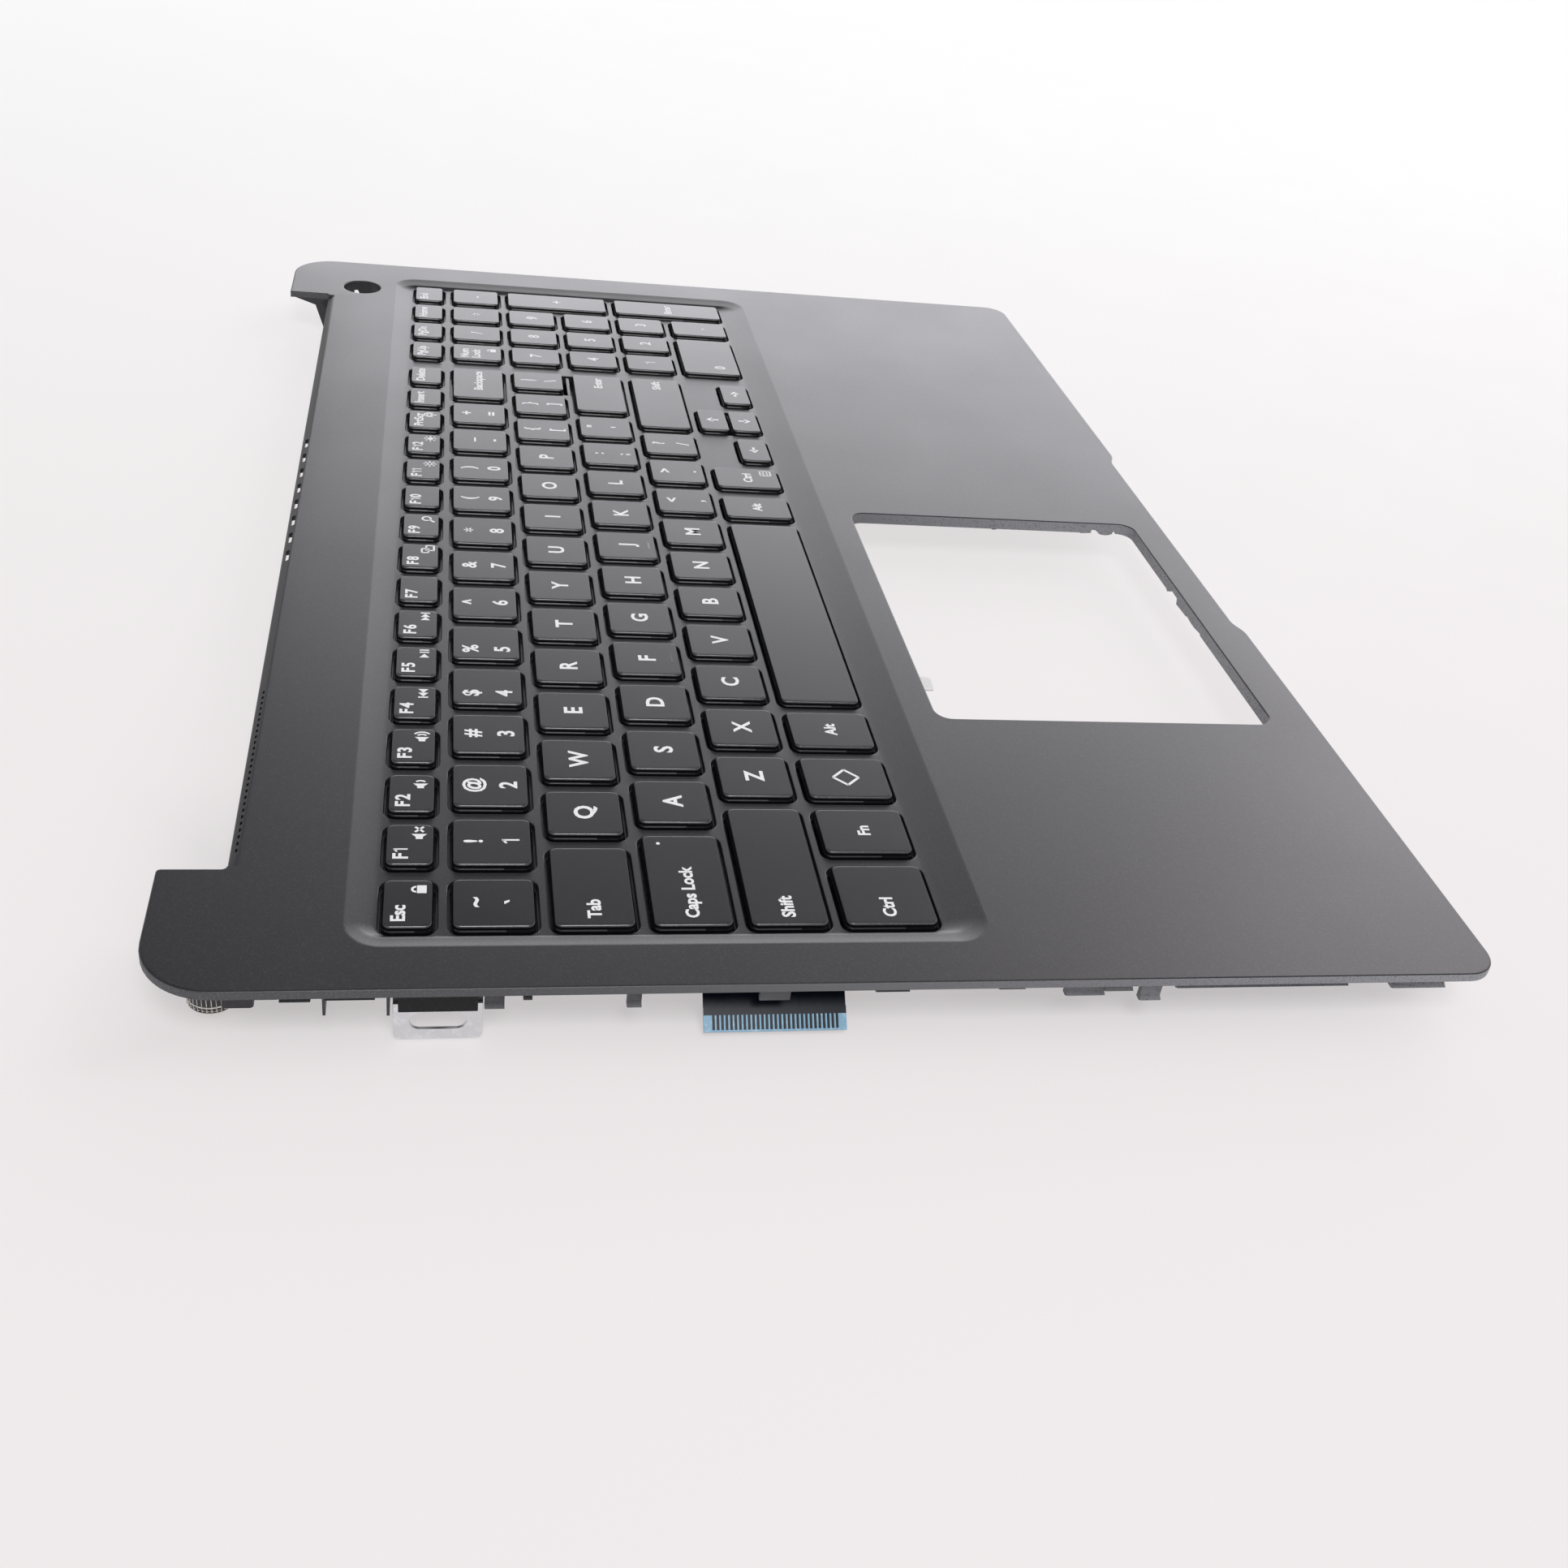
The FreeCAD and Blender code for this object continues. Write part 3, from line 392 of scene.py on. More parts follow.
# Keyboard recess: the sunk deck, moulded with the cover. It falls in long even slopes at the front and rear,
# and at the two ends it starts as a shallow dish and drops in a short step beside the keys.
# Each key has a window in the deck, with a narrow ledge low down.
RECESS_DROP = 1.2
RECESS_MARGINS = (5.5, 7.4, 10.0, 6.9)
RECESS_CORNER = 7.0
RECESS_INNER_CORNER = 4.0
RECESS_RUNS = (3.9, 5.8, 8.3, 5.3)
RECESS_BROW = [(-0.25, 0.0), (-0.1, 0.01)]
LONG_SLOPE = 1.1
END_SLOPE = [(0.03, 0.018), (0.1, 0.06), (0.25, 0.15), (0.45, 0.26), (0.65, 0.35), (0.82, 0.42), (0.88, 0.5),
             (0.93, 0.7), (0.97, 0.92), (1.0, 1.0)]
DECK_BOTTOM = 10.2
KEY_FLARE = 0.3
KEY_CORNER = 1.3
WINDOW_GAP = 0.8
WINDOW_WALL = [(0.22, 0.0), (0.13, 0.02), (0.04, 0.07), (0.0, 0.18)]
WINDOW_REBATE = 1.5
WINDOW_LEDGE = 0.4
WINDOW_TURN = 18.0
WINDOW_INNER_CORNER = 0.4
IN_LINE_ROOM, TOUCHING_ROOM, NEXT_ROW_ROOM = 0.1, 1.0, 4.0
BAR_DROP = 0.3
BAR_END_ROOM, BAR_FRONT_ROOM, BAR_REAR_ROOM = 0.5, 0.15, 0.35
BAR_CORNER = 0.3
BAR_EDGE = [(0.2, 0.0), (0.05, 0.06), (0.0, 0.2), (0.0, 1.0)]
BAR_TURN = 30.0


def solids_of(node):
    """The boxes of a node's separate solids, as x0, x1, y0, y1."""
    bm = bmesh.new()
    bm.from_mesh(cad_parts[node].data)
    bmesh.ops.remove_doubles(bm, verts=bm.verts, dist=SAME_PLACE * MM)
    boxes = []
    unseen = set(bm.verts)
    while unseen:
        reached = [unseen.pop()]
        for vert in reached:
            for edge in vert.link_edges:
                other = edge.other_vert(vert)
                if other in unseen:
                    unseen.remove(other)
                    reached.append(other)
        xs = [v.co.x / MM for v in reached]
        ys = [v.co.y / MM for v in reached]
        boxes.append((min(xs), max(xs), min(ys), max(ys)))
    bm.free()
    return sorted(boxes)


deck_top = cover_top - RECESS_DROP
moving_keys = [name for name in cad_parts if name.startswith("key_")]
key_groups = ["function_row_keys", "punctuation_keys", "bottom_row_keys", "number_pad_keys"]
group_boxes = {group: solids_of(group) for group in key_groups}
key_boxes = {name: box_mm(name)[:4] for name in moving_keys}
all_boxes = list(key_boxes.values()) + [box for boxes in group_boxes.values() for box in boxes]
field = (min(b[0] for b in all_boxes) + KEY_FLARE, max(b[1] for b in all_boxes) - KEY_FLARE,
         min(b[2] for b in all_boxes) + KEY_FLARE, max(b[3] for b in all_boxes) - KEY_FLARE)
margin_left, margin_right, margin_front, margin_rear = RECESS_MARGINS
recess = (field[0] - margin_left, field[1] + margin_right, field[2] - margin_front, field[3] + margin_rear)


def recess_ring(end_share, long_share, inset, drop):
    """A ring round the recess, at shares of the runs from its edge at the ends and along the sides."""
    shares = (end_share, end_share, long_share, long_share)
    left, right, front, rear = [run * share + inset for run, share in zip(RECESS_RUNS, shares)]
    corner = RECESS_CORNER + (RECESS_INNER_CORNER - RECESS_CORNER) * end_share
    loop = rounded_rectangle(recess[0] + left, recess[1] - right, recess[2] + front, recess[3] - rear, corner)
    return ring(cover, loop, [cover_top - drop] * len(loop))


recess_rings = [recess_ring(0.0, 0.0, inset, drop) for inset, drop in RECESS_BROW]
for end_share, fall in END_SLOPE:
    long_share = 1 - (1 - fall) ** (1 / LONG_SLOPE)
    recess_rings.append(recess_ring(end_share, long_share, 0.0, RECESS_DROP * fall))
for upper, lower in zip(recess_rings, recess_rings[1:]):
    bridge(cover, upper, lower, hole=True)

windows = []
for box in all_boxes:
    for i, other in enumerate(windows):
        in_line = abs(box[0] - other[0]) < IN_LINE_ROOM and abs(box[1] - other[1]) < IN_LINE_ROOM
        touching = abs(box[2] - other[3]) < TOUCHING_ROOM or abs(box[3] - other[2]) < TOUCHING_ROOM
        if in_line and touching:
            windows[i] = (box[0], box[1], min(box[2], other[2]), max(box[3], other[3]))
            break
    else:
        windows.append(box)
window_corner = KEY_CORNER + KEY_FLARE + WINDOW_GAP
window_wall = WINDOW_WALL + [(0.0, WINDOW_REBATE), (-WINDOW_LEDGE, WINDOW_REBATE),
                             (-WINDOW_LEDGE, deck_top - DECK_BOTTOM)]
enter_box = key_boxes["key_enter"]
behind_enter = []
for box in windows:
    in_line = abs(box[1] - enter_box[1]) < IN_LINE_ROOM
    if in_line and 0 < box[2] - enter_box[3] < NEXT_ROW_ROOM:
        behind_enter.append(box)
gap = WINDOW_GAP
window_outlines = []
for x0, x1, y0, y1 in windows:
    if (x0, x1, y0, y1) not in behind_enter + [enter_box]:
        loop = rounded_rectangle(x0 - gap, x1 + gap, y0 - gap, y1 + gap, window_corner, WINDOW_TURN)
        window_outlines.append(loop)

# The enter key and the one behind it share a window, which a low bar of the lattice crosses
x0, x1, y0, y1 = enter_box
rear_x0, rear_x1, rear_y0, rear_y1 = behind_enter[0]
window_outlines.append(rounded_outline([
    (x0 - gap, y0 - gap, window_corner), (x1 + gap, y0 - gap, window_corner),
    (x1 + gap, rear_y1 + gap, window_corner), (rear_x0 - gap, rear_y1 + gap, window_corner),
    (rear_x0 - gap, y1 + gap, WINDOW_INNER_CORNER), (x0 - gap, y1 + gap, window_corner),
], WINDOW_TURN))
window_rings = [rolled_edge(cover, loop, deck_top, window_wall, hole=True) for loop in window_outlines]
bar = rounded_rectangle(rear_x0 - gap + BAR_END_ROOM, rear_x1 + gap - BAR_END_ROOM,
                        y1 + gap + BAR_FRONT_ROOM, rear_y0 - gap - BAR_REAR_ROOM, BAR_CORNER, BAR_TURN)
bar_rings = rolled_edge(cover, bar, deck_top - BAR_DROP, BAR_EDGE, hole=False)
fill_between(cover, [bar_rings[0]])
fill_between(cover, [edge_rings[0], recess_rings[0], pad_rings[0], button_rings[0]])
fill_between(cover, [recess_rings[-1]] + [rings[0] for rings in window_rings])
SHARP_CREASE = 35.0


def new_piece(name, bm, materials, body="palm_rest"):
    """A mesh object with smooth faces and sharp creases, which rides on a body."""
    mesh = bpy.data.meshes.new(name)
    bm.to_mesh(mesh)
    bm.free()
    mesh.shade_smooth()
    mesh.set_sharp_from_angle(angle=math.radians(SHARP_CREASE))
    for material in materials:
        mesh.materials.append(material)
    piece = bpy.data.objects.new(name, mesh)
    bpy.context.scene.collection.objects.link(piece)
    normals = piece.modifiers.new("even_shading", "WEIGHTED_NORMAL")
    normals.keep_sharp = True
    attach(piece, body)
    return piece


cover_shell = new_piece("cover_shell", cover, [cover_plastic, lit_edge_plastic])
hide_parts("palm_rest_cover")

# Cover underside: the ribs, hooks, walls and posts that hang under the skin, moulded with it.
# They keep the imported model's form, apart from the screw posts and hinge posts, which are turned round.
POST_RADIUS = 3.4
POST_PLACES = [(-140.0, -113.0), (140.0, -113.0), (-140.0, 105.0), (140.0, 105.0)]
POST_BORE = 2.0
POST_BORE_TOP = 6.0
POST_FILLET = (0.5, 0.6)
POST_EASE = 0.3
BORE_END = 0.02
HINGE_POST_RADIUS = 4.3
HINGE_POST_BOTTOM = 4.6
HINGE_POST_PLACES = [(-180.5, 117.0), (180.5, 117.0)]
HINGE_POST_BORE = 2.9
HINGE_RIB_START, HINGE_RIB_REACH = 2.0, 7.4
HINGE_RIB_RISE = 0.4
HINGE_RIB_CORNER = 0.6
BUTTON_COLLAR_WALL = 1.5
BUTTON_COLLAR_DROPS = (3.1, 4.4)
BUTTON_STEP_Y = 1.6
SHADED_SLOT = 1
SHADE_MARGIN = 1.0
WELD = 0.001
SKIN_OVERLAP = 0.002
ROOM = 0.05
DECK_WALL_MARGIN = -2.0
FLAT, UPRIGHT = 0.9, 0.1
BLOCK_TURN = 30.0


def in_box(point, x0, x1, y0, y1, room):
    return x0 - room < point.x < x1 + room and y0 - room < point.y < y1 + room


def near_any(middle, places, radius):
    return any((middle.xy - Vector(place)).length < radius for place in places)


def turned(bm, x, y, profile, tube=False):
    """A shape turned about an upright axis, from (radius, height) pairs. A tube's outline closes."""
    rings = [ring(bm, circle(x, y, radius, ROUND_SIDES), [z] * ROUND_SIDES) for radius, z in profile]
    for upper, lower in zip(rings, rings[1:]):
        bridge(bm, upper, lower, hole=False)
    if tube:
        bridge(bm, rings[-1], rings[0], hole=False)
    return rings


def soft_block(bm, x0, x1, y0, y1, z0, z1, corner):
    """A block with its upright corners and its foot eased."""
    loop = rounded_rectangle(x0, x1, y0, y1, corner, BLOCK_TURN)
    rings = rolled_edge(bm, loop, z1, [(0.0, 0.0), (0.0, z1 - z0 - corner), (corner, z1 - z0)], hole=False)
    fill_between(bm, [rings[0]])
    fill_between(bm, [rings[-1]], up=False)


below = bmesh.new()
below.from_mesh(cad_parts["palm_rest_cover"].data)
bmesh.ops.remove_doubles(below, verts=below.verts, dist=WELD * MM)
cut_height = Vector((0, 0, (underside + SKIN_OVERLAP) * MM))
geometry = list(below.verts) + list(below.edges) + list(below.faces)
bmesh.ops.bisect_plane(below, geom=geometry, plane_co=cut_height, plane_no=(0, 0, 1), clear_outer=True)

replaced_walls = []
for face in below.faces:
    middle = face.calc_center_median() / MM
    on_skin = middle.z > underside - ROOM and abs(face.normal.z) > FLAT
    on_wall = middle.z > DECK_BOTTOM + ROOM and abs(face.normal.z) < UPRIGHT
    in_deck = in_box(middle, *recess, DECK_WALL_MARGIN) and on_wall
    in_pad = in_box(middle, *PAD_WINDOW, PAD_RIM_WALL + ROOM)
    in_button = near_any(middle, [BUTTON_CENTRE], BUTTON_RADIUS + BUTTON_COLLAR_WALL + ROOM)
    in_post = near_any(middle, POST_PLACES, POST_RADIUS + ROOM)
    in_hinge_post = near_any(middle, HINGE_POST_PLACES, HINGE_POST_RADIUS + ROOM)
    if in_deck or not on_skin and (in_pad or in_button or in_post or in_hinge_post):
        replaced_walls.append(face)
bmesh.ops.delete(below, geom=replaced_walls, context="FACES")

for x, y in POST_PLACES:
    turned(below, x, y, [(POST_RADIUS + POST_FILLET[0], underside), (POST_RADIUS, underside - POST_FILLET[1]),
                         (POST_RADIUS, POST_EASE), (POST_RADIUS - POST_EASE, 0.0), (POST_BORE, 0.0),
                         (POST_BORE, POST_BORE_TOP), (BORE_END, POST_BORE_TOP)])
for x, y in HINGE_POST_PLACES:
    turned(below, x, y, [(HINGE_POST_RADIUS, underside), (HINGE_POST_RADIUS, HINGE_POST_BOTTOM + POST_EASE),
                         (HINGE_POST_RADIUS - POST_EASE, HINGE_POST_BOTTOM),
                         (HINGE_POST_BORE, HINGE_POST_BOTTOM)])

# The collar round the button hole is deeper on its front side, where it guides the button
collar_outside = circle(*BUTTON_CENTRE, BUTTON_RADIUS + BUTTON_COLLAR_WALL, ROUND_SIDES)
low_drop, high_drop = BUTTON_COLLAR_DROPS
step_y = BUTTON_CENTRE[1] + BUTTON_STEP_Y
collar_bottom = [cover_top - (high_drop if p.y < step_y else low_drop) for p in button_loop]
collar_rings = [ring(below, button_loop, [cover_top - BUTTON_EDGE[-1][1]] * ROUND_SIDES),
                ring(below, button_loop, collar_bottom), ring(below, collar_outside, collar_bottom),
                ring(below, collar_outside, [underside] * ROUND_SIDES)]
# Painted shade: the collar's walls keep the darker top plastic, for the shade inside the hole
for upper, lower in zip(collar_rings, collar_rings[1:]):
    for face in bridge(below, upper, lower, hole=True):
        face.material_index = SHADED_SLOT

# A short rib stands in front of each hinge post. Painted shade: the rear corners keep the darker top plastic
# instead of the paler lit-edge plastic
for x, y in HINGE_POST_PLACES:
    outer_x = math.copysign(abs(x) + HINGE_POST_RADIUS, x)
    soft_block(below, min(outer_x, x), max(outer_x, x), y - HINGE_RIB_REACH, y - HINGE_RIB_START,
               HINGE_POST_BOTTOM + HINGE_RIB_RISE, underside, HINGE_RIB_CORNER)
for face in below.faces:
    middle = face.calc_center_median() / MM
    if abs(middle.x) > notch_x - SHADE_MARGIN and middle.y > notch_y - HINGE_RIB_REACH:
        face.material_index = SHADED_SLOT
# Painted light: the underside's ribs, hooks and walls take the paler lit-edge plastic, as if lit from below
cover_underside = new_piece("cover_underside", below, [lit_edge_plastic, cover_plastic])
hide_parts("palm_rest_cover")

# Key caps: two-shot plastic caps with a flat satin top and a glossy black skirt that flares to its base.
# Each cap sits in its window on a rubber dome, and its legend is printed in white on the top.
CAP_SHADE = (0.0158, 0.0154, 0.0186, 1.0)
CAP_FLECK = (0.0245, 0.024, 0.0268, 1.0)
SKIRT_SHADE = (0.006, 0.006, 0.0075, 1.0)
SKIRT_FLECK = (0.009, 0.009, 0.011, 1.0)
INK_SHADE = (0.90, 0.90, 0.91, 1.0)
INK_FLECK = (0.84, 0.84, 0.85, 1.0)
INK_THICKNESS = 0.03
# Each row of the edge: inset at the left and right sides, inset at the front and rear, and drop below the top
CAP_EDGE = [(0.76, 0.36, 0.0), (0.655, 0.31, 0.012), (0.55, 0.285, 0.045), (0.455, 0.275, 0.10),
            (0.38, 0.27, 0.18), (0.32, 0.265, 0.28), (0.285, 0.26, 0.41), (0.275, 0.26, 0.55)]
# The skirt's rows below it: inset and drop, with a chamfer at the foot
CAP_LEDGE = [(0.29, 0.95), (0.27, 1.0), (0.10, 1.22), (0.03, 1.29), (0.0, 1.38)]
FIRST_HIGHLIGHT_ROW = 2
# Painted highlight: where the lit streak on the foot's chamfer starts, and how wide a band at the left side
# it takes
LIT_STREAK_START = 0.36
LIT_STREAK_BAND = 0.5
CAP_HEIGHT = 2.0
CAP_TURN = 15.0
FOOT_EASE = 0.06
CAP_WALL = 1.2
CAP_ROOF = 1.0
TOP_SLOT, SKIRT_SLOT, INK_SLOT, HIGHLIGHT_SLOT = 0, 1, 2, 3
# Painted highlight: a paler, glossier finish for the rolled top edge of each cap
EDGE_HIGHLIGHT_SHADE = (0.055, 0.056, 0.060, 1.0)
EDGE_HIGHLIGHT_FLECK = (0.085, 0.086, 0.090, 1.0)
key_finish = [
    grained_material("key_top_satin", CAP_SHADE, CAP_FLECK,
                     grains=4200.0, gloss=(0.31, 0.34), bump=0.12, shine=0.40),
    grained_material("key_skirt_gloss", SKIRT_SHADE, SKIRT_FLECK,
                     grains=900.0, gloss=(0.16, 0.24), bump=0.04, shine=0.12),
    grained_material("legend_ink", INK_SHADE, INK_FLECK, grains=3000.0, gloss=(0.5, 0.6), bump=0.1),
    grained_material("key_edge_polish", EDGE_HIGHLIGHT_SHADE, EDGE_HIGHLIGHT_FLECK,
                     grains=1800.0, gloss=(0.20, 0.25), bump=0.04, shine=0.8),
]


def side_shares(points):
    """How far each point of an outline faces left or right: 1 at the sides, 0 at the front and rear."""
    shares = []
    for i, point in enumerate(points):
        along = (points[(i + 1) % len(points)] - points[i - 1]).normalized()
        shares.append(along.y ** 2)
    return shares


def key_cap(bm, x0, x1, y0, y1):
    """A cap on its base outline: rolled top edge, flared skirt, and a hollow underside."""
    base = rounded_rectangle(x0, x1, y0, y1, KEY_CORNER + KEY_FLARE, CAP_TURN)
    lit_streak_start = y0 + (y1 - y0) * LIT_STREAK_START
    base.append(Vector((x0, lit_streak_start)))
    top = cover_top - INK_THICKNESS
    foot = CAP_HEIGHT - INK_THICKNESS
    rings = []
    for side_inset, end_inset, drop in CAP_EDGE:
        insets = [side_inset * s + end_inset * (1 - s) for s in side_shares(base)]
        rings.append(ring(bm, moved_out(base, [-inset for inset in insets]), [top - drop] * len(base)))
    for upper, lower in zip(rings, rings[1:]):
        bridge(bm, upper, lower, hole=False)
    fill_between(bm, [rings[0]])
    # Painted highlight: the rolled edge rows take the paler highlight finish
    paint(rings[FIRST_HIGHLIGHT_ROW:-1], HIGHLIGHT_SLOT)
    underneath = [(0.0, foot - FOOT_EASE), (FOOT_EASE, foot), (CAP_WALL, foot), (CAP_WALL, CAP_ROOF)]
    skirt_rings = rolled_edge(bm, base, top, CAP_LEDGE + underneath, hole=False)
    bridge(bm, rings[-1], skirt_rings[0], hole=False)
    fill_between(bm, [skirt_rings[-1]], up=False)
    paint([rings[-1]] + skirt_rings, SKIRT_SLOT)
    # Painted highlight: the chamfer at the foot takes the paler satin top finish over the rear part of the
    # left side, as a lit streak
    for vert in skirt_rings[1]:
        for face in vert.link_faces:
            middle = face.calc_center_median() / MM
            on_chamfer = middle.z < top - CAP_LEDGE[1][1]
            if on_chamfer and middle.x < x0 + LIT_STREAK_BAND and middle.y > lit_streak_start:
                face.material_index = TOP_SLOT


# Legends: pad-printed words, letters and signs, as a thin layer of white ink on the cap tops.
# A sign is drawn from bars, arcs and patches about its own middle.
LETTER_HEIGHT = 3.8
DIGIT_HEIGHT = 3.4
WORD_HEIGHT = 2.45
LABEL_HEIGHT = 2.7
LABEL_GAP = 0.16
LETTER_WEIGHT = 0.026
LETTER_CURVE_STEPS = 3
WORD_WEIGHT = 0.032
SIGN_SCALE = 1.35
PAIR_SPREAD = 3.6
WORD_MARGIN = 2.1
glyph_meshes = {}


def glyphs(text, weight):
    """The flat faces of a text at font size 1, with its strokes made bolder by a weight."""
    if (text, weight) not in glyph_meshes:
        curve = bpy.data.curves.new("glyphs", "FONT")
        curve.body = text
        curve.offset = weight
        curve.resolution_u = LETTER_CURVE_STEPS
        holder = bpy.data.objects.new("glyphs", curve)
        mesh = holder.to_mesh()
        points = [v.co.xy for v in mesh.vertices]
        triangles = [tuple(p.vertices) for p in mesh.polygons]
        holder.to_mesh_clear()
        bpy.data.objects.remove(holder)
        bpy.data.curves.remove(curve)
        glyph_meshes[text, weight] = (points, triangles)
    return glyph_meshes[text, weight]


cap_letter = glyphs("H", 0.0)[0]
CAP_LETTER_HEIGHT = max(p.y for p in cap_letter) - min(p.y for p in cap_letter)


def ink_faces(bm, points, polygons, slot=INK_SLOT):
    """A closed layer of ink on a cap's top, from its flat outline faces."""
    upper, lower = [[bm.verts.new((x * MM, y * MM, height * MM)) for x, y in points]
                    for height in (cover_top, cover_top - INK_THICKNESS)]
    faces, sides = [], {}
    for polygon in polygons:
        steps = list(zip(polygon, polygon[1:] + polygon[:1]))
        if sum(points[a][0] * points[b][1] - points[b][0] * points[a][1] for a, b in steps) < 0:
            steps = [(b, a) for a, b in reversed(steps)]
        faces.append(bm.faces.new([upper[a] for a, b in steps]))
        faces.append(bm.faces.new([lower[b] for a, b in reversed(steps)]))
        for a, b in steps:
            sides.setdefault((min(a, b), max(a, b)), []).append((a, b))
    # A side that belongs to one outline face only is at the rim, and gets a wall that faces outwards
    rim = [uses[0] for uses in sides.values() if len(uses) == 1]
    for a, b in rim:
        faces.append(bm.faces.new((upper[b], upper[a], lower[a], lower[b])))
    for face in faces:
        face.material_index = slot


def print_text(bm, text, x, y, height, align="centre", weight=LETTER_WEIGHT):
    """Prints a text with its middle height at y, and its middle, left or right end at x."""
    if text in drawn_signs:
        drawn_signs[text](bm, x, y, height)
        return
    points, triangles = glyphs(text, weight)
    scale = height / CAP_LETTER_HEIGHT
    left = min(p.x for p in points) * scale
    right = max(p.x for p in points) * scale
    shift = {"left": x - left, "right": x - right, "centre": x - (left + right) / 2}[align]
    ink_faces(bm, [(p.x * scale + shift, p.y * scale + y - height / 2) for p in points], triangles)


def print_bar(bm, x0, y0, x1, y1, breadth, slot=INK_SLOT):
    along = Vector((x1 - x0, y1 - y0)).normalized() * breadth / 2
    across = Vector((-along.y, along.x))
    a, b = Vector((x0, y0)), Vector((x1, y1))
    ink_faces(bm, [a + across, a - across, b - across, b + across], [(0, 1, 2, 3)], slot)


def print_star(bm, x, y, height):
    """The star sign as three crossed bars."""
    reach = 0.36 * height
    for k in range(3):
        a = math.radians(90 + 60 * k)
        c, s = reach * math.cos(a), reach * math.sin(a)
        print_bar(bm, x - c, y - s, x + c, y + s, 0.12 * height)


def print_one(bm, x, y, height):
    """The figure 1 as a stem with a flag."""
    stroke = 0.14 * height
    stem = x + 0.12 * height
    print_bar(bm, stem, y - height / 2, stem, y + height / 2, stroke)
    print_bar(bm, stem, y + 0.44 * height, stem - 0.3 * height, y + 0.24 * height, stroke)


drawn_signs = {"1": print_one, "*": print_star}


def print_label(bm, label, x, y, height):
    """A letter and figures set one by one from the left, as on the function keys."""
    for sign in label:
        if sign == "1":
            print_one(bm, x + 0.2 * height, y, height)
            x += (0.4 + LABEL_GAP) * height
            continue
        points = glyphs(sign, WORD_WEIGHT)[0]
        print_text(bm, sign, x, y, height, "left", WORD_WEIGHT)
        breadth = max(p.x for p in points) - min(p.x for p in points)
        x += breadth * height / CAP_LETTER_HEIGHT + LABEL_GAP * height


def print_arc(bm, x, y, radius, start, end, breadth):
    """Part of a ring between two angles in degrees."""
    steps = max(4, round(abs(end - start) / 20))
    points = []
    for k in range(steps + 1):
        a = math.radians(start + (end - start) * k / steps)
        for r in (radius - breadth / 2, radius + breadth / 2):
            points.append((x + r * math.cos(a), y + r * math.sin(a)))
    ink_faces(bm, points, [(2 * k, 2 * k + 1, 2 * k + 3, 2 * k + 2) for k in range(steps)])


def print_patch(bm, x, y, outline):
    ink_faces(bm, [(x + px, y + py) for px, py in outline], [tuple(range(len(outline)))])


def speaker_sign(bm, x, y, waves):
    horn = [(-0.9, -0.5), (-0.4, -0.5), (0.3, -1.1), (0.3, 1.1), (-0.4, 0.5), (-0.9, 0.5)]
    print_patch(bm, x - 0.5, y, horn)
    for k in range(waves):
        print_arc(bm, x - 0.3, y, 0.85 + 0.65 * k, -50, 50, 0.34)
    if not waves:
        print_bar(bm, x + 0.3, y - 0.6, x + 1.5, y + 0.6, 0.36)
        print_bar(bm, x + 0.3, y + 0.6, x + 1.5, y - 0.6, 0.36)


def track_sign(bm, x, y, towards):
    for k in (0, 1):
        base = x + towards * (k * 1.1 - 1.3)
        print_patch(bm, base, y, [(0, -0.8), (towards * 1.1, 0), (0, 0.8)])
    print_bar(bm, x + towards * 1.15, y - 0.8, x + towards * 1.15, y + 0.8, 0.35)


def play_pause_sign(bm, x, y):
    print_patch(bm, x - 1.3, y, [(0, -0.8), (1.2, 0), (0, 0.8)])
    for k in (0.4, 1.1):
        print_bar(bm, x + k, y - 0.8, x + k, y + 0.8, 0.35)


def screens_sign(bm, x, y):
    for cx, cy, w, h in ((-0.5, 0.4, 0.8, 0.6), (0.6, -0.5, 1.0, 0.7)):
        for side in (-1, 1):
            print_bar(bm, x + cx - w, y + cy + side * h, x + cx + w, y + cy + side * h, 0.36)
            print_bar(bm, x + cx + side * w, y + cy - h, x + cx + side * w, y + cy + h, 0.36)


def lens_sign(bm, x, y):
    print_arc(bm, x + 0.2, y + 0.3, 0.8, 0, 360, 0.36)
    print_bar(bm, x - 0.3, y - 0.25, x - 1.2, y - 1.2, 0.44)


def sun_sign(bm, x, y, filled):
    print_arc(bm, x, y, 0.3 if filled else 0.5, 0, 360, 0.6 if filled else 0.26)
    for k in range(8):
        a = math.radians(45 * k)
        c, s = math.cos(a), math.sin(a)
        print_bar(bm, x + 0.85 * c, y + 0.85 * s, x + 1.35 * c, y + 1.35 * s, 0.30)


def mast_sign(bm, x, y):
    print_bar(bm, x, y - 1.2, x, y + 0.2, 0.36)
    print_arc(bm, x, y + 0.3, 0.6, -60, 240, 0.30)
    print_arc(bm, x, y + 0.3, 1.1, -40, 220, 0.30)


def padlock_sign(bm, x, y):
    print_patch(bm, x, y - 0.5, [(-0.85, -0.7), (0.85, -0.7), (0.85, 0.6), (-0.85, 0.6)])
    print_arc(bm, x, y + 0.2, 0.55, 0, 180, 0.34)


def menu_sign(bm, x, y):
    for side in (-1, 1):
        print_bar(bm, x - 1.25, y + side * 1.1, x + 1.25, y + side * 1.1, 0.30)
        print_bar(bm, x + side * 1.1, y - 1.1, x + side * 1.1, y + 1.1, 0.30)
    for k in (-0.4, 0.4):
        print_bar(bm, x - 0.7, y + k, x + 0.7, y + k, 0.26)


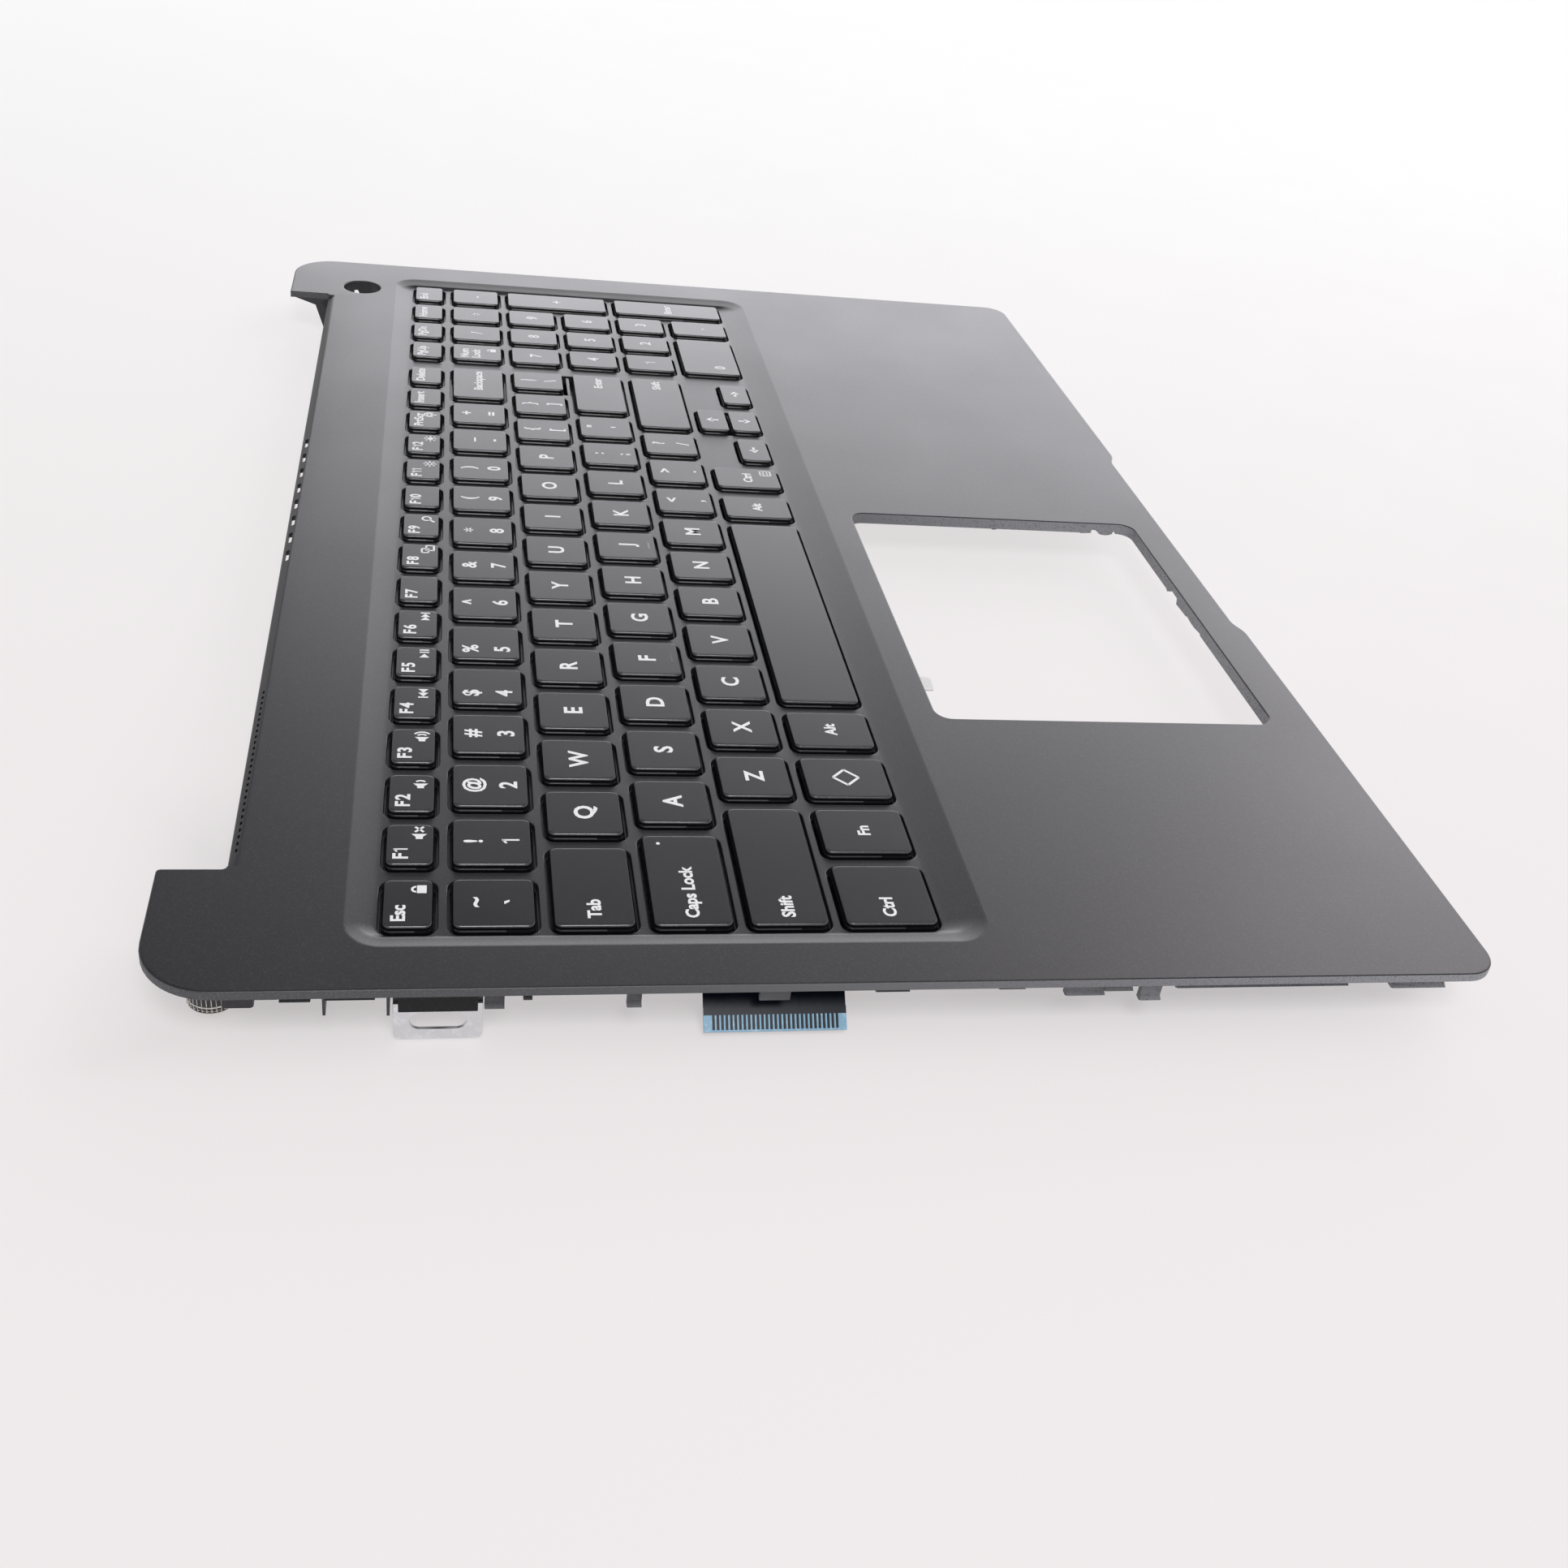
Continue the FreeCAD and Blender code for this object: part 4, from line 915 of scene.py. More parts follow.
def arrow_sign(bm, x, y, dx, dy):
    print_bar(bm, x - 1.3 * dx, y - 1.3 * dy, x + 0.5 * dx, y + 0.5 * dy, 0.6)
    tip = Vector((dx, dy))
    side = Vector((-dy, dx))
    print_patch(bm, x, y, [tip * 1.6, tip * 0.1 + side * 1.15, tip * 0.1 - side * 1.15])


def diamond_sign(bm, x, y):
    corners = [Vector((2.1, 0)), Vector((0, 2.1)), Vector((-2.1, 0)), Vector((0, -2.1))]
    for a, b in zip(corners, corners[1:] + corners[:1]):
        print_bar(bm, x + a.x, y + a.y, x + b.x, y + b.y, 0.45)


def print_sign(bm, sign, x, y):
    """Draws a sign about its own middle, and then sets it at its size and place."""
    before = len(bm.verts)
    sign(bm, 0.0, 0.0)
    for vert in list(bm.verts)[before:]:
        vert.co.x = vert.co.x * SIGN_SCALE + x * MM
        vert.co.y = vert.co.y * SIGN_SCALE + y * MM


def middle_of(box):
    return (box[0] + box[1]) / 2, (box[2] + box[3]) / 2


def print_pair(bm, box, pair, shift=0.0):
    """Two signs on one key, one above the other."""
    x, y = middle_of(box)
    print_text(bm, pair[0], x + shift, y + PAIR_SPREAD, DIGIT_HEIGHT)
    print_text(bm, pair[1], x + shift, y - PAIR_SPREAD, DIGIT_HEIGHT)


def print_word(bm, box, word, align):
    """A word in a wide key, near its left or right edge."""
    x = box[0] + KEY_FLARE + WORD_MARGIN if align == "left" else box[1] - KEY_FLARE - WORD_MARGIN
    print_text(bm, word, x, middle_of(box)[1], WORD_HEIGHT, align, WORD_WEIGHT)


def finish_keys(name, bm, node, body):
    """Makes a piece of the caps and legends drawn so far, in place of a CAD node."""
    piece = new_piece(name, bm, key_finish, body=body)
    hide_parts(node)


# Sliding keys: the letter, digit and wide caps, each a moulded cap of its own on its own slide.
# Two letter caps carry a bar for the fingers, drawn in the paler painted-highlight finish, and caps lock has
# a small round light.
HOME_KEYS = "fj"
HOME_BAR = (3.8, 0.45, 1.9)
LOCK_LIGHT = (3.0, 3.2, 0.4)
digit_signs = dict(zip("1234567890", "!@#$%^&*()"))
left_set_digits = "45"
LEFT_SET_SHIFT = -2.9
wide_words = {"tab": ("Tab", "left"), "caps_lock": ("Caps Lock", "left"), "left_shift": ("Shift", "left"),
              "right_shift": ("Shift", "right"), "enter": ("Enter", "right"),
              "backspace": ("Backspace", "right")}
for node, box in key_boxes.items():
    name = node[len("key_"):]
    caps = bmesh.new()
    key_cap(caps, *box)
    if name in digit_signs:
        print_pair(caps, box, digit_signs[name] + name, LEFT_SET_SHIFT if name in left_set_digits else 0.0)
    elif name in wide_words:
        word, align = wide_words[name]
        print_word(caps, box, word, align)
    elif len(name) == 1:
        print_text(caps, name.upper(), *middle_of(box), LETTER_HEIGHT)
    if name in HOME_KEYS:
        length, breadth, bar_front = HOME_BAR
        x, y = middle_of(box)[0], box[2] + bar_front
        # The finger bar is drawn in the paler painted-highlight finish
        print_bar(caps, x - length / 2, y, x + length / 2, y, breadth, HIGHLIGHT_SLOT)
    if name == "caps_lock":
        from_right, from_rear, radius = LOCK_LIGHT
        print_arc(caps, box[1] - from_right, box[3] - from_rear, radius / 2, 0, 360, radius)
    finish_keys("cap_" + name, caps, node, node)

# Function row: half-height caps in one strip, moulded and fixed as the other caps are.
# Each has a word at the rear, and most have a sign at the front.
FUNCTION_WORDS = ["Esc"] + ["F%d" % k for k in range(1, 13)]
FUNCTION_WORDS += ["PrtScr", "Insert", "Delete", "PgUp", "PgDn", "Home", "End"]
WORD_LEFT = 1.6
WORD_REAR = 2.6
SIGN_FRONT = 2.6
SIGN_RIGHT = 2.9
function_signs = {
    "Esc": padlock_sign,
    "F1": lambda bm, x, y: speaker_sign(bm, x, y, 0),
    "F2": lambda bm, x, y: speaker_sign(bm, x, y, 1),
    "F3": lambda bm, x, y: speaker_sign(bm, x, y, 2),
    "F4": lambda bm, x, y: track_sign(bm, x, y, -1),
    "F5": play_pause_sign,
    "F6": lambda bm, x, y: track_sign(bm, x, y, 1),
    "F8": screens_sign,
    "F9": lens_sign,
    "F11": lambda bm, x, y: sun_sign(bm, x, y, False),
    "F12": lambda bm, x, y: sun_sign(bm, x, y, True),
    "PrtScr": mast_sign,
}
caps = bmesh.new()
for word, box in zip(FUNCTION_WORDS, sorted(group_boxes["function_row_keys"])):
    key_cap(caps, *box)
    rear = box[3] - KEY_FLARE - WORD_REAR
    word_x = box[0] + KEY_FLARE + WORD_LEFT
    if word[0] == "F":
        print_label(caps, word, word_x, rear, LABEL_HEIGHT)
    else:
        print_text(caps, word, word_x, rear, WORD_HEIGHT, "left", WORD_WEIGHT)
    if word in function_signs:
        sign_x, sign_y = box[1] - KEY_FLARE - SIGN_RIGHT, box[2] + KEY_FLARE + SIGN_FRONT
        print_sign(caps, function_signs[word], sign_x, sign_y)
finish_keys("function_row_caps", caps, "function_row_keys", "palm_rest")

# Punctuation keys: full-size caps at the ends of the letter rows, moulded and fixed as the others are.
# Each has two signs, one above the other.
PUNCTUATION = ["~`", "_-", "+=", "{[", "}]", "|\\", ":;", "\"'", "<,", ">.", "?/"]


def reading_order(boxes):
    """Key boxes from the rear row to the front one, and from left to right in a row."""
    return sorted(boxes, key=lambda box: (-round(box[2]), box[0]))


caps = bmesh.new()
for pair, box in zip(PUNCTUATION, reading_order(group_boxes["punctuation_keys"])):
    key_cap(caps, *box)
    print_pair(caps, box, pair)
finish_keys("punctuation_caps", caps, "punctuation_keys", "palm_rest")

# Bottom row: deep caps beside the space bar and four half-height arrow caps, moulded as the others are.
# Most have a word, the third has a plain diamond, and the last deep cap has a menu sign as well.
BOTTOM_WORDS = ["Ctrl", "Fn", None, "Alt", "Alt", "Ctrl"]
ARROWS = [(-1, 0), (0, -1), (0, 1), (1, 0)]
MENU_RIGHT, MENU_FRONT = 3.4, 3.6
caps = bmesh.new()
bottom_boxes = sorted(group_boxes["bottom_row_keys"], key=lambda b: (round(b[0]), b[2]))
for box in bottom_boxes:
    key_cap(caps, *box)
for word, box in zip(BOTTOM_WORDS, bottom_boxes):
    x, y = middle_of(box)
    if word is None:
        print_sign(caps, diamond_sign, x, y)
    elif box is bottom_boxes[0]:
        print_word(caps, box, word, "left")
    else:
        print_text(caps, word, x, y, WORD_HEIGHT, weight=WORD_WEIGHT)
menu_box = bottom_boxes[len(BOTTOM_WORDS) - 1]
print_sign(caps, menu_sign, menu_box[1] - MENU_RIGHT, menu_box[2] + MENU_FRONT)
for (dx, dy), box in zip(ARROWS, bottom_boxes[len(BOTTOM_WORDS):]):
    print_sign(caps, lambda bm, x, y: arrow_sign(bm, x, y, dx, dy), *middle_of(box))
finish_keys("bottom_row_caps", caps, "bottom_row_keys", "palm_rest")

# Number pad: narrow caps in four columns, moulded and fixed as the others are.
# A tall plus cap and a tall enter cap stand at the right, and the zero cap is two columns wide.
NUMBER_SIGNS = ["Num", "/", "*", "-", "7", "8", "9", "4", "5", "6", "+", "1", "2", "3", "0", ".",
                "Enter"]
NUM_SHIFT, NUM_RISE, LOCK_RISE = -1.0, 4.0, 0.4
PADLOCK_SHIFT, PADLOCK_FALL = 2.0, 4.2
ZERO_LEFT, ZERO_FALL = 6.0, 3.0
caps = bmesh.new()
for sign, box in zip(NUMBER_SIGNS, reading_order(group_boxes["number_pad_keys"])):
    key_cap(caps, *box)
    x, y = middle_of(box)
    if sign == "Num":
        print_text(caps, "Num", x + NUM_SHIFT, y + NUM_RISE, WORD_HEIGHT, weight=WORD_WEIGHT)
        print_text(caps, "Lock", x + NUM_SHIFT, y + LOCK_RISE, WORD_HEIGHT, weight=WORD_WEIGHT)
        print_sign(caps, padlock_sign, x + PADLOCK_SHIFT, y - PADLOCK_FALL)
    elif sign == "0":
        print_text(caps, sign, box[0] + ZERO_LEFT, y - ZERO_FALL, DIGIT_HEIGHT)
    elif sign == "Enter":
        print_text(caps, sign, x, y, WORD_HEIGHT, weight=WORD_WEIGHT)
    else:
        print_text(caps, sign, x, y, DIGIT_HEIGHT)
finish_keys("number_pad_caps", caps, "number_pad_keys", "palm_rest")

# Layers under the keys: a dark printed film, pale rubber domes and bent wires under the wide caps.
# They are clamped between the deck and the steel plate, and show only through the gaps round the keys.
FILM_SHADE = (0.012, 0.012, 0.014, 1.0)
FILM_PRINT = (0.03, 0.03, 0.034, 1.0)
DOME_SHADE = (0.30, 0.30, 0.28, 1.0)
DOME_DUST = (0.36, 0.36, 0.34, 1.0)
WIRE_SHADE = (0.45, 0.45, 0.46, 1.0)
WIRE_BRIGHT = (0.60, 0.60, 0.61, 1.0)


def dress(node, *materials):
    """Puts new materials on a CAD node that keeps its own shape."""
    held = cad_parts[node].data.materials
    held.clear()
    for material in materials:
        held.append(material)


def metal_material(name, colour, fleck, grains, gloss, bump):
    material = grained_material(name, colour, fleck, grains, gloss, bump)
    material.node_tree.nodes["Principled BSDF"].inputs["Metallic"].default_value = 1.0
    return material


printed_film = grained_material("printed_film", FILM_SHADE, FILM_PRINT,
                                grains=700.0, gloss=(0.3, 0.4), bump=0.05)
dome_rubber = grained_material("dome_rubber", DOME_SHADE, DOME_DUST,
                               grains=3000.0, gloss=(0.55, 0.65), bump=0.1)
drawn_wire = metal_material("drawn_wire", WIRE_SHADE, WIRE_BRIGHT,
                            grains=1500.0, gloss=(0.3, 0.4), bump=0.1)
dress("membrane_sheet", printed_film)
dress("rubber_domes", dome_rubber)
dress("stabiliser_wires", drawn_wire)

# Support plate: the sheet that backs the keyboard, blanked and pressed from rolled steel.
# Melted plastic stakes of the cover hold it to the deck.
PLATE_SHADE = (0.50, 0.51, 0.52, 1.0)
PLATE_BRIGHT = (0.62, 0.63, 0.64, 1.0)
rolled_steel = metal_material("rolled_steel", PLATE_SHADE, PLATE_BRIGHT,
                              grains=600.0, gloss=(0.32, 0.42), bump=0.08)
dress("support_plate", rolled_steel)

# Keyboard ribbon: black printed film that leaves the plate and bends down past the left edge.
# Its end is stiffened with blue film that carries a comb of dark contact fingers.
RIBBON_SHADE = (0.004, 0.006, 0.012, 1.0)
RIBBON_PRINT = (0.008, 0.011, 0.020, 1.0)
STIFFENER_SHADE = (0.16, 0.37, 0.54, 1.0)
STIFFENER_PALE = (0.30, 0.52, 0.66, 1.0)
RIBBON_THICKNESS = 0.3
RIBBON_BEND_X = -178.0
RIBBON_BEND_RADIUS = 5.0
RIBBON_BEND_ANGLE = 40.0
RIBBON_TAIL = 10.2
RIBBON_BEND_STEPS = 16
CONTACT_SLOT = 1
STIFFENER_LENGTH = 4.6
STIFFENER_THICKNESS = 0.3
STIFFENER_COVERED = 1.5
FINGER_COUNT = 29
FINGER_WIDTH = 0.5
FINGER_END = 0.35
END_EAR = 1.4
PRINT_PROUD = 0.02


def ribbon_line(offset, tail_start, tail_end):
    """Points along the ribbon in X and Z at an offset from its middle: the bend, or a stretch of the tail."""
    radius = RIBBON_BEND_RADIUS + offset
    centre = Vector((RIBBON_BEND_X, ribbon_z1 - RIBBON_THICKNESS / 2 - RIBBON_BEND_RADIUS))
    points = []
    if tail_start is None:
        points.append(Vector((ribbon_x1, centre.y + radius)))
        for k in range(RIBBON_BEND_STEPS + 1):
            a = math.radians(RIBBON_BEND_ANGLE * k / RIBBON_BEND_STEPS)
            points.append(centre + Vector((-math.sin(a), math.cos(a))) * radius)
    a = math.radians(RIBBON_BEND_ANGLE)
    leave = centre + Vector((-math.sin(a), math.cos(a))) * radius
    along = Vector((-math.cos(a), -math.sin(a)))
    if tail_start is not None:
        points.append(leave + along * tail_start)
    points.append(leave + along * tail_end)
    return points


def film_strip(bm, low_offset, high_offset, y0, y1, tail_start=None, tail_end=RIBBON_TAIL, material=0):
    """A strip of film that follows the ribbon's line between two offsets and two widths."""
    line = ribbon_line(high_offset, tail_start, tail_end)
    line += ribbon_line(low_offset, tail_start, tail_end)[::-1]
    front = [bm.verts.new((p.x * MM, y0 * MM, p.y * MM)) for p in line]
    rear = [bm.verts.new((p.x * MM, y1 * MM, p.y * MM)) for p in line]
    faces = [bm.faces.new(front), bm.faces.new(rear[::-1])]
    for i in range(len(line)):
        j = (i + 1) % len(line)
        faces.append(bm.faces.new([front[j], front[i], rear[i], rear[j]]))
    for face in faces:
        face.material_index = material


ribbon_x1, ribbon_y0, ribbon_y1 = box_mm("keyboard_ribbon")[1:4]
ribbon_z1 = box_mm("keyboard_ribbon")[5]
ribbon_film = grained_material("ribbon_film", RIBBON_SHADE, RIBBON_PRINT,
                               grains=300.0, gloss=(0.22, 0.32), bump=0.03, shine=0.15)
stiffener_film = grained_material("stiffener_film", STIFFENER_SHADE, STIFFENER_PALE,
                                  grains=900.0, gloss=(0.3, 0.4), bump=0.05)
ribbon_half = RIBBON_THICKNESS / 2
strip = bmesh.new()
film_strip(strip, -ribbon_half, ribbon_half, ribbon_y0, ribbon_y1)
ribbon = new_piece("ribbon_strip", strip, [ribbon_film])
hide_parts("keyboard_ribbon")

strip = bmesh.new()
stiffener_high = ribbon_half + STIFFENER_THICKNESS
tail_start = RIBBON_TAIL - STIFFENER_LENGTH
film_strip(strip, ribbon_half, stiffener_high, ribbon_y0, ribbon_y1, tail_start)
cover_end = tail_start + STIFFENER_COVERED
print_high = stiffener_high + PRINT_PROUD
film_strip(strip, stiffener_high, print_high, ribbon_y0, ribbon_y1, tail_start, cover_end, CONTACT_SLOT)
finger_pitch = (ribbon_y1 - ribbon_y0 - 2 * END_EAR) / FINGER_COUNT
for k in range(FINGER_COUNT):
    y = ribbon_y0 + END_EAR + (k + 0.5) * finger_pitch
    film_strip(strip, stiffener_high, print_high, y - FINGER_WIDTH / 2, y + FINGER_WIDTH / 2, cover_end,
               RIBBON_TAIL - FINGER_END, CONTACT_SLOT)
stiffener = new_piece("ribbon_contacts", strip, [stiffener_film, ribbon_film])
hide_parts("ribbon_stiffener")

# Port bracket: a bright metal plate with an oblong slot, cut and folded from sheet.
# Its flange is screwed up into a block under the cover's left edge.
BRACKET_SHADE = (0.70, 0.71, 0.73, 1.0)
BRACKET_BRIGHT = (0.80, 0.81, 0.83, 1.0)
BRACKET_THICKNESS = 0.8
BRACKET_CORNER = 1.4
BRACKET_ROLL = 0.15
BRACKET_SLOT = (10.0, 3.9)
BRACKET_SLOT_HEIGHT = 4.9
FLANGE_HOLE = 1.1
FLANGE_HOLE_SIDES = 24
PLATE_EASE = 0.3


def rolled_plate(bm, outline, holes, low, high, roll):
    """A flat plate between two heights, with its edges eased."""
    drop = high - low
    ease = PLATE_EASE * roll
    edge = [(roll, 0.0), (ease, ease), (0.0, roll), (0.0, drop - roll), (ease, drop - ease), (roll, drop)]
    borders = [rolled_edge(bm, outline, high, edge, hole=False)]
    borders += [rolled_edge(bm, loop, high, edge, hole=True) for loop in holes]
    fill_between(bm, [rings[0] for rings in borders])
    fill_between(bm, [rings[-1] for rings in borders], up=False)


bracket_x0, bracket_x1, bracket_y0, bracket_y1, bracket_z0, bracket_z1 = box_mm("port_bracket")
bracket_y = (bracket_y0 + bracket_y1) / 2
flange_x = (bracket_x0 + BRACKET_THICKNESS + bracket_x1) / 2
fold = bmesh.new()
upright = rounded_outline([
    (bracket_y0, bracket_z0, BRACKET_CORNER), (bracket_y1, bracket_z0, BRACKET_CORNER),
    (bracket_y1, bracket_z1, BRACKET_ROLL), (bracket_y0, bracket_z1, BRACKET_ROLL)])
slot_x, slot_z = BRACKET_SLOT[0] / 2, BRACKET_SLOT[1] / 2
oblong = rounded_rectangle(bracket_y - slot_x, bracket_y + slot_x, BRACKET_SLOT_HEIGHT - slot_z,
                           BRACKET_SLOT_HEIGHT + slot_z, slot_z - SAME_PLACE)
rolled_plate(fold, upright, [oblong], bracket_x0, bracket_x0 + BRACKET_THICKNESS, BRACKET_ROLL)
for vert in fold.verts:
    vert.co = (vert.co.z, vert.co.x, vert.co.y)
flange = rounded_rectangle(bracket_x0 + BRACKET_THICKNESS / 2, bracket_x1, bracket_y0, bracket_y1,
                           BRACKET_ROLL)
flange_hole = circle(flange_x, bracket_y, FLANGE_HOLE, FLANGE_HOLE_SIDES)
flange_bottom = bracket_z1 - BRACKET_THICKNESS
rolled_plate(fold, flange, [flange_hole], flange_bottom, bracket_z1, BRACKET_ROLL)
bright_plate = metal_material("bright_plate", BRACKET_SHADE, BRACKET_BRIGHT,
                              grains=800.0, gloss=(0.28, 0.36), bump=0.05)
bracket = new_piece("folded_bracket", fold, [bright_plate])
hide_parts("port_bracket")

# Bracket foam: a strip of black foam with a glossy skin, cut to size and stuck to the bracket's face.
# It closes the gap between the bracket and the cover's edge.
FOAM_SHADE = (0.005, 0.005, 0.006, 1.0)
FOAM_FLECK = (0.012, 0.012, 0.013, 1.0)
FOAM_FOOT = 7.3
FOAM_EAR = 0.9
FOAM_PROUD = 0.35
FOAM_CORNER = 0.12
foam = bmesh.new()
soft_block(foam, bracket_x0 - FOAM_PROUD, bracket_x0, bracket_y0 + FOAM_EAR, bracket_y1 - FOAM_EAR, FOAM_FOOT,
           underside, FOAM_CORNER)
foam_finish = grained_material("gloss_foam", FOAM_SHADE, FOAM_FLECK,
                               grains=1500.0, gloss=(0.15, 0.35), bump=0.6, shine=0.25)
new_piece("bracket_foam", foam, [foam_finish])

# Bracket screw: a small steel screw with a broad head, turned and blackened.
# It is driven up through the bracket's flange into the block above.
SCREW_SHADE = (0.03, 0.03, 0.034, 1.0)
SCREW_BRIGHT = (0.06, 0.06, 0.065, 1.0)
SHANK_RADIUS, SHANK_TIP, TIP_LENGTH = 1.0, 0.8, 0.3
HEAD_EASE = 0.25
SOCKET_MOUTH, SOCKET_FLOOR, SOCKET_DEPTH = 0.95, 0.8, 0.45
SCREW_AXIS = 0.02
screw = bmesh.new()
screw_x0, screw_x1 = box_mm("bracket_screw")[:2]
screw_z0, screw_z1 = box_mm("bracket_screw")[4:]
head_radius = (screw_x1 - screw_x0) / 2
turned(screw, flange_x, bracket_y, [
    (SCREW_AXIS, screw_z1), (SHANK_TIP, screw_z1), (SHANK_RADIUS, screw_z1 - TIP_LENGTH),
    (SHANK_RADIUS, flange_bottom), (head_radius, flange_bottom), (head_radius, screw_z0 + HEAD_EASE),
    (head_radius - HEAD_EASE, screw_z0), (SOCKET_MOUTH, screw_z0), (SOCKET_FLOOR, screw_z0 + SOCKET_DEPTH),
    (SCREW_AXIS, screw_z0 + SOCKET_DEPTH)])
black_screw = metal_material("black_screw", SCREW_SHADE, SCREW_BRIGHT,
                             grains=900.0, gloss=(0.3, 0.4), bump=0.05)
screw_piece = new_piece("flange_screw", screw, [black_screw])
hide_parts("bracket_screw")

# Screw inserts: turned brass bushes with a threaded bore, one in each screw post.
# They are pressed into the posts while hot, and take the screws of the bottom case.
BRASS_SHADE = (0.60, 0.54, 0.42, 1.0)
BRASS_BRIGHT = (0.74, 0.69, 0.58, 1.0)
INSERT_BORE = 1.0
INSERT_EASE, INSERT_MOUTH = 0.2, 0.3
brass = metal_material("turned_brass", BRASS_SHADE, BRASS_BRIGHT,
                       grains=1200.0, gloss=(0.10, 0.16), bump=0.06)
bush = bmesh.new()
insert_z0, insert_z1 = box_mm("screw_inserts")[4:]
for x, y in POST_PLACES:
    turned(bush, x, y, [(POST_BORE, insert_z1), (POST_BORE, insert_z0 + INSERT_EASE),
                        (POST_BORE - INSERT_EASE, insert_z0), (INSERT_BORE + INSERT_MOUTH, insert_z0),
                        (INSERT_BORE, insert_z0 + INSERT_MOUTH), (INSERT_BORE, insert_z1)], tube=True)
inserts = new_piece("post_bushes", bush, [brass])
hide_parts("screw_inserts")

# Hinge inserts: turned bushes with a bright nickel plating and a knurled sleeve, one on each hinge post.
# They are pressed on from below, and their threads take the screws of the screen's hinges.
NICKEL_SHADE = (0.56, 0.54, 0.50, 1.0)
NICKEL_BRIGHT = (0.80, 0.79, 0.76, 1.0)
HINGE_BORE = 1.25
HINGE_MOUTH = 0.4
SLEEVE_HEIGHT = 3.6
SLEEVE_FIT = 0.05
SLEEVE_WALL = 0.5
SLEEVE_EASE = 0.15
KNURL = 0.3
# Two toothed bands with a groove between them, as (height above the foot, depth of the teeth)
SLEEVE_BANDS = [(SLEEVE_HEIGHT, 0.0), (SLEEVE_HEIGHT - 0.1, KNURL), (1.9, KNURL), (1.8, 0.0), (1.5, 0.0),
                (1.4, KNURL), (0.6, KNURL), (0.5, 0.0)]


def knurled_ring(bm, x, y, radius, tooth, z):
    """A ring with teeth, for the grip of a pressed-in bush."""
    points = circle(x, y, radius, ROUND_SIDES)
    centre = Vector((x, y))
    toothed = [p if k % 2 else centre + (p - centre) * (1 - tooth / radius) for k, p in enumerate(points)]
    return ring(bm, toothed, [z] * ROUND_SIDES)


bush = bmesh.new()
insert_z0, insert_z1 = box_mm("hinge_inserts")[4:]
sleeve = HINGE_POST_RADIUS + SLEEVE_FIT
for x, y in HINGE_POST_PLACES:
    grip = [knurled_ring(bush, x, y, sleeve, tooth, insert_z0 + up) for up, tooth in SLEEVE_BANDS]
    foot = turned(bush, x, y, [
        (sleeve - SLEEVE_EASE, insert_z0 + SLEEVE_EASE), (sleeve - SLEEVE_WALL, insert_z0),
        (HINGE_BORE + HINGE_MOUTH, insert_z0), (HINGE_BORE, insert_z0 + HINGE_MOUTH), (HINGE_BORE, insert_z1),
        (sleeve - SLEEVE_WALL, insert_z1), (sleeve - SLEEVE_WALL, insert_z0 + SLEEVE_HEIGHT)])
    for upper, lower in zip([foot[-1]] + grip, grip + [foot[0]]):
        bridge(bush, upper, lower, hole=False)
nickel = metal_material("turned_nickel", NICKEL_SHADE, NICKEL_BRIGHT,
                        grains=900.0, gloss=(0.08, 0.14), bump=0.06)
inserts = new_piece("hinge_bushes", bush, [nickel])
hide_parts("hinge_inserts")

# Tape tab: a scrap of white paper tape, torn off at its front end.
# It is stuck under the rear rim of the touch pad window and reaches into the opening.
TAPE_SHADE = (0.80, 0.80, 0.79, 1.0)
TAPE_FIBRE = (0.72, 0.72, 0.70, 1.0)
TAPE_REACH = 2.4
TAPE_TEAR_X, TAPE_TEAR_Y = 0.8, 0.4
TAPE_TEAR_LEFT, TAPE_TEAR_RIGHT, TAPE_CORNER = 0.5, 0.8, 0.4
TAPE_EASE = 0.05
scrap = bmesh.new()
tape_x0, tape_x1, tape_y0, tape_y1, tape_z0, tape_z1 = box_mm("tape_tab")
torn_edge = rounded_outline([
    (tape_x0, tape_y0 - TAPE_REACH + TAPE_TEAR_Y, TAPE_TEAR_LEFT),
    (tape_x1 - TAPE_TEAR_X, tape_y0 - TAPE_REACH, TAPE_TEAR_RIGHT),
    (tape_x1, tape_y1, TAPE_CORNER), (tape_x0, tape_y1, TAPE_CORNER)])
rolled_plate(scrap, torn_edge, [], tape_z0, tape_z1, TAPE_EASE)
paper_tape = grained_material("paper_tape", TAPE_SHADE, TAPE_FIBRE,
                              grains=1800.0, gloss=(0.7, 0.8), bump=0.2)
tape = new_piece("tape_scrap", scrap, [paper_tape])
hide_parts("tape_tab")

# Studio: a pale floor, soft light from above and a bright wall of light beyond the far end.
# The camera stands at the left end of the part, a little above it. Lengths here are in metres.
IMAGE_SIZE = 1932.0
FOCAL_PIXELS = 2051.4
SENSOR = 36.0
NEAREST_SEEN = 0.01
FLOOR_SHADE = (0.86, 0.845, 0.84, 1.0)
NEAR_PAPER = (0.895, 0.855, 0.862, 1.0)
FAR_PAPER = (1.0, 1.0, 1.0, 1.0)
PAPER_NEAR_X, PAPER_FAR_X = -0.25, 0.55
PAPER_START, PAPER_END = 0.8, 2.4
GLOW_NEAR, GLOW_FAR = 0.76, 1.0
GLOW_START, GLOW_END = 0.35, 1.2
CONTACT_SHARE = 0.7
CONTACT_OUTSIDE, CONTACT_INSIDE, CONTACT_ENDS = (-0.198, -0.180), (-0.15, -0.10), (0.11, 0.15)
FLOOR_REACH = 4.0
CAMERA_PLACE = (-0.410154, 0.077718, 0.212840)
CAMERA_RIGHT = (-0.158683, -0.979506, 0.124050)
CAMERA_UP = (0.576409, 0.010102, 0.817099)

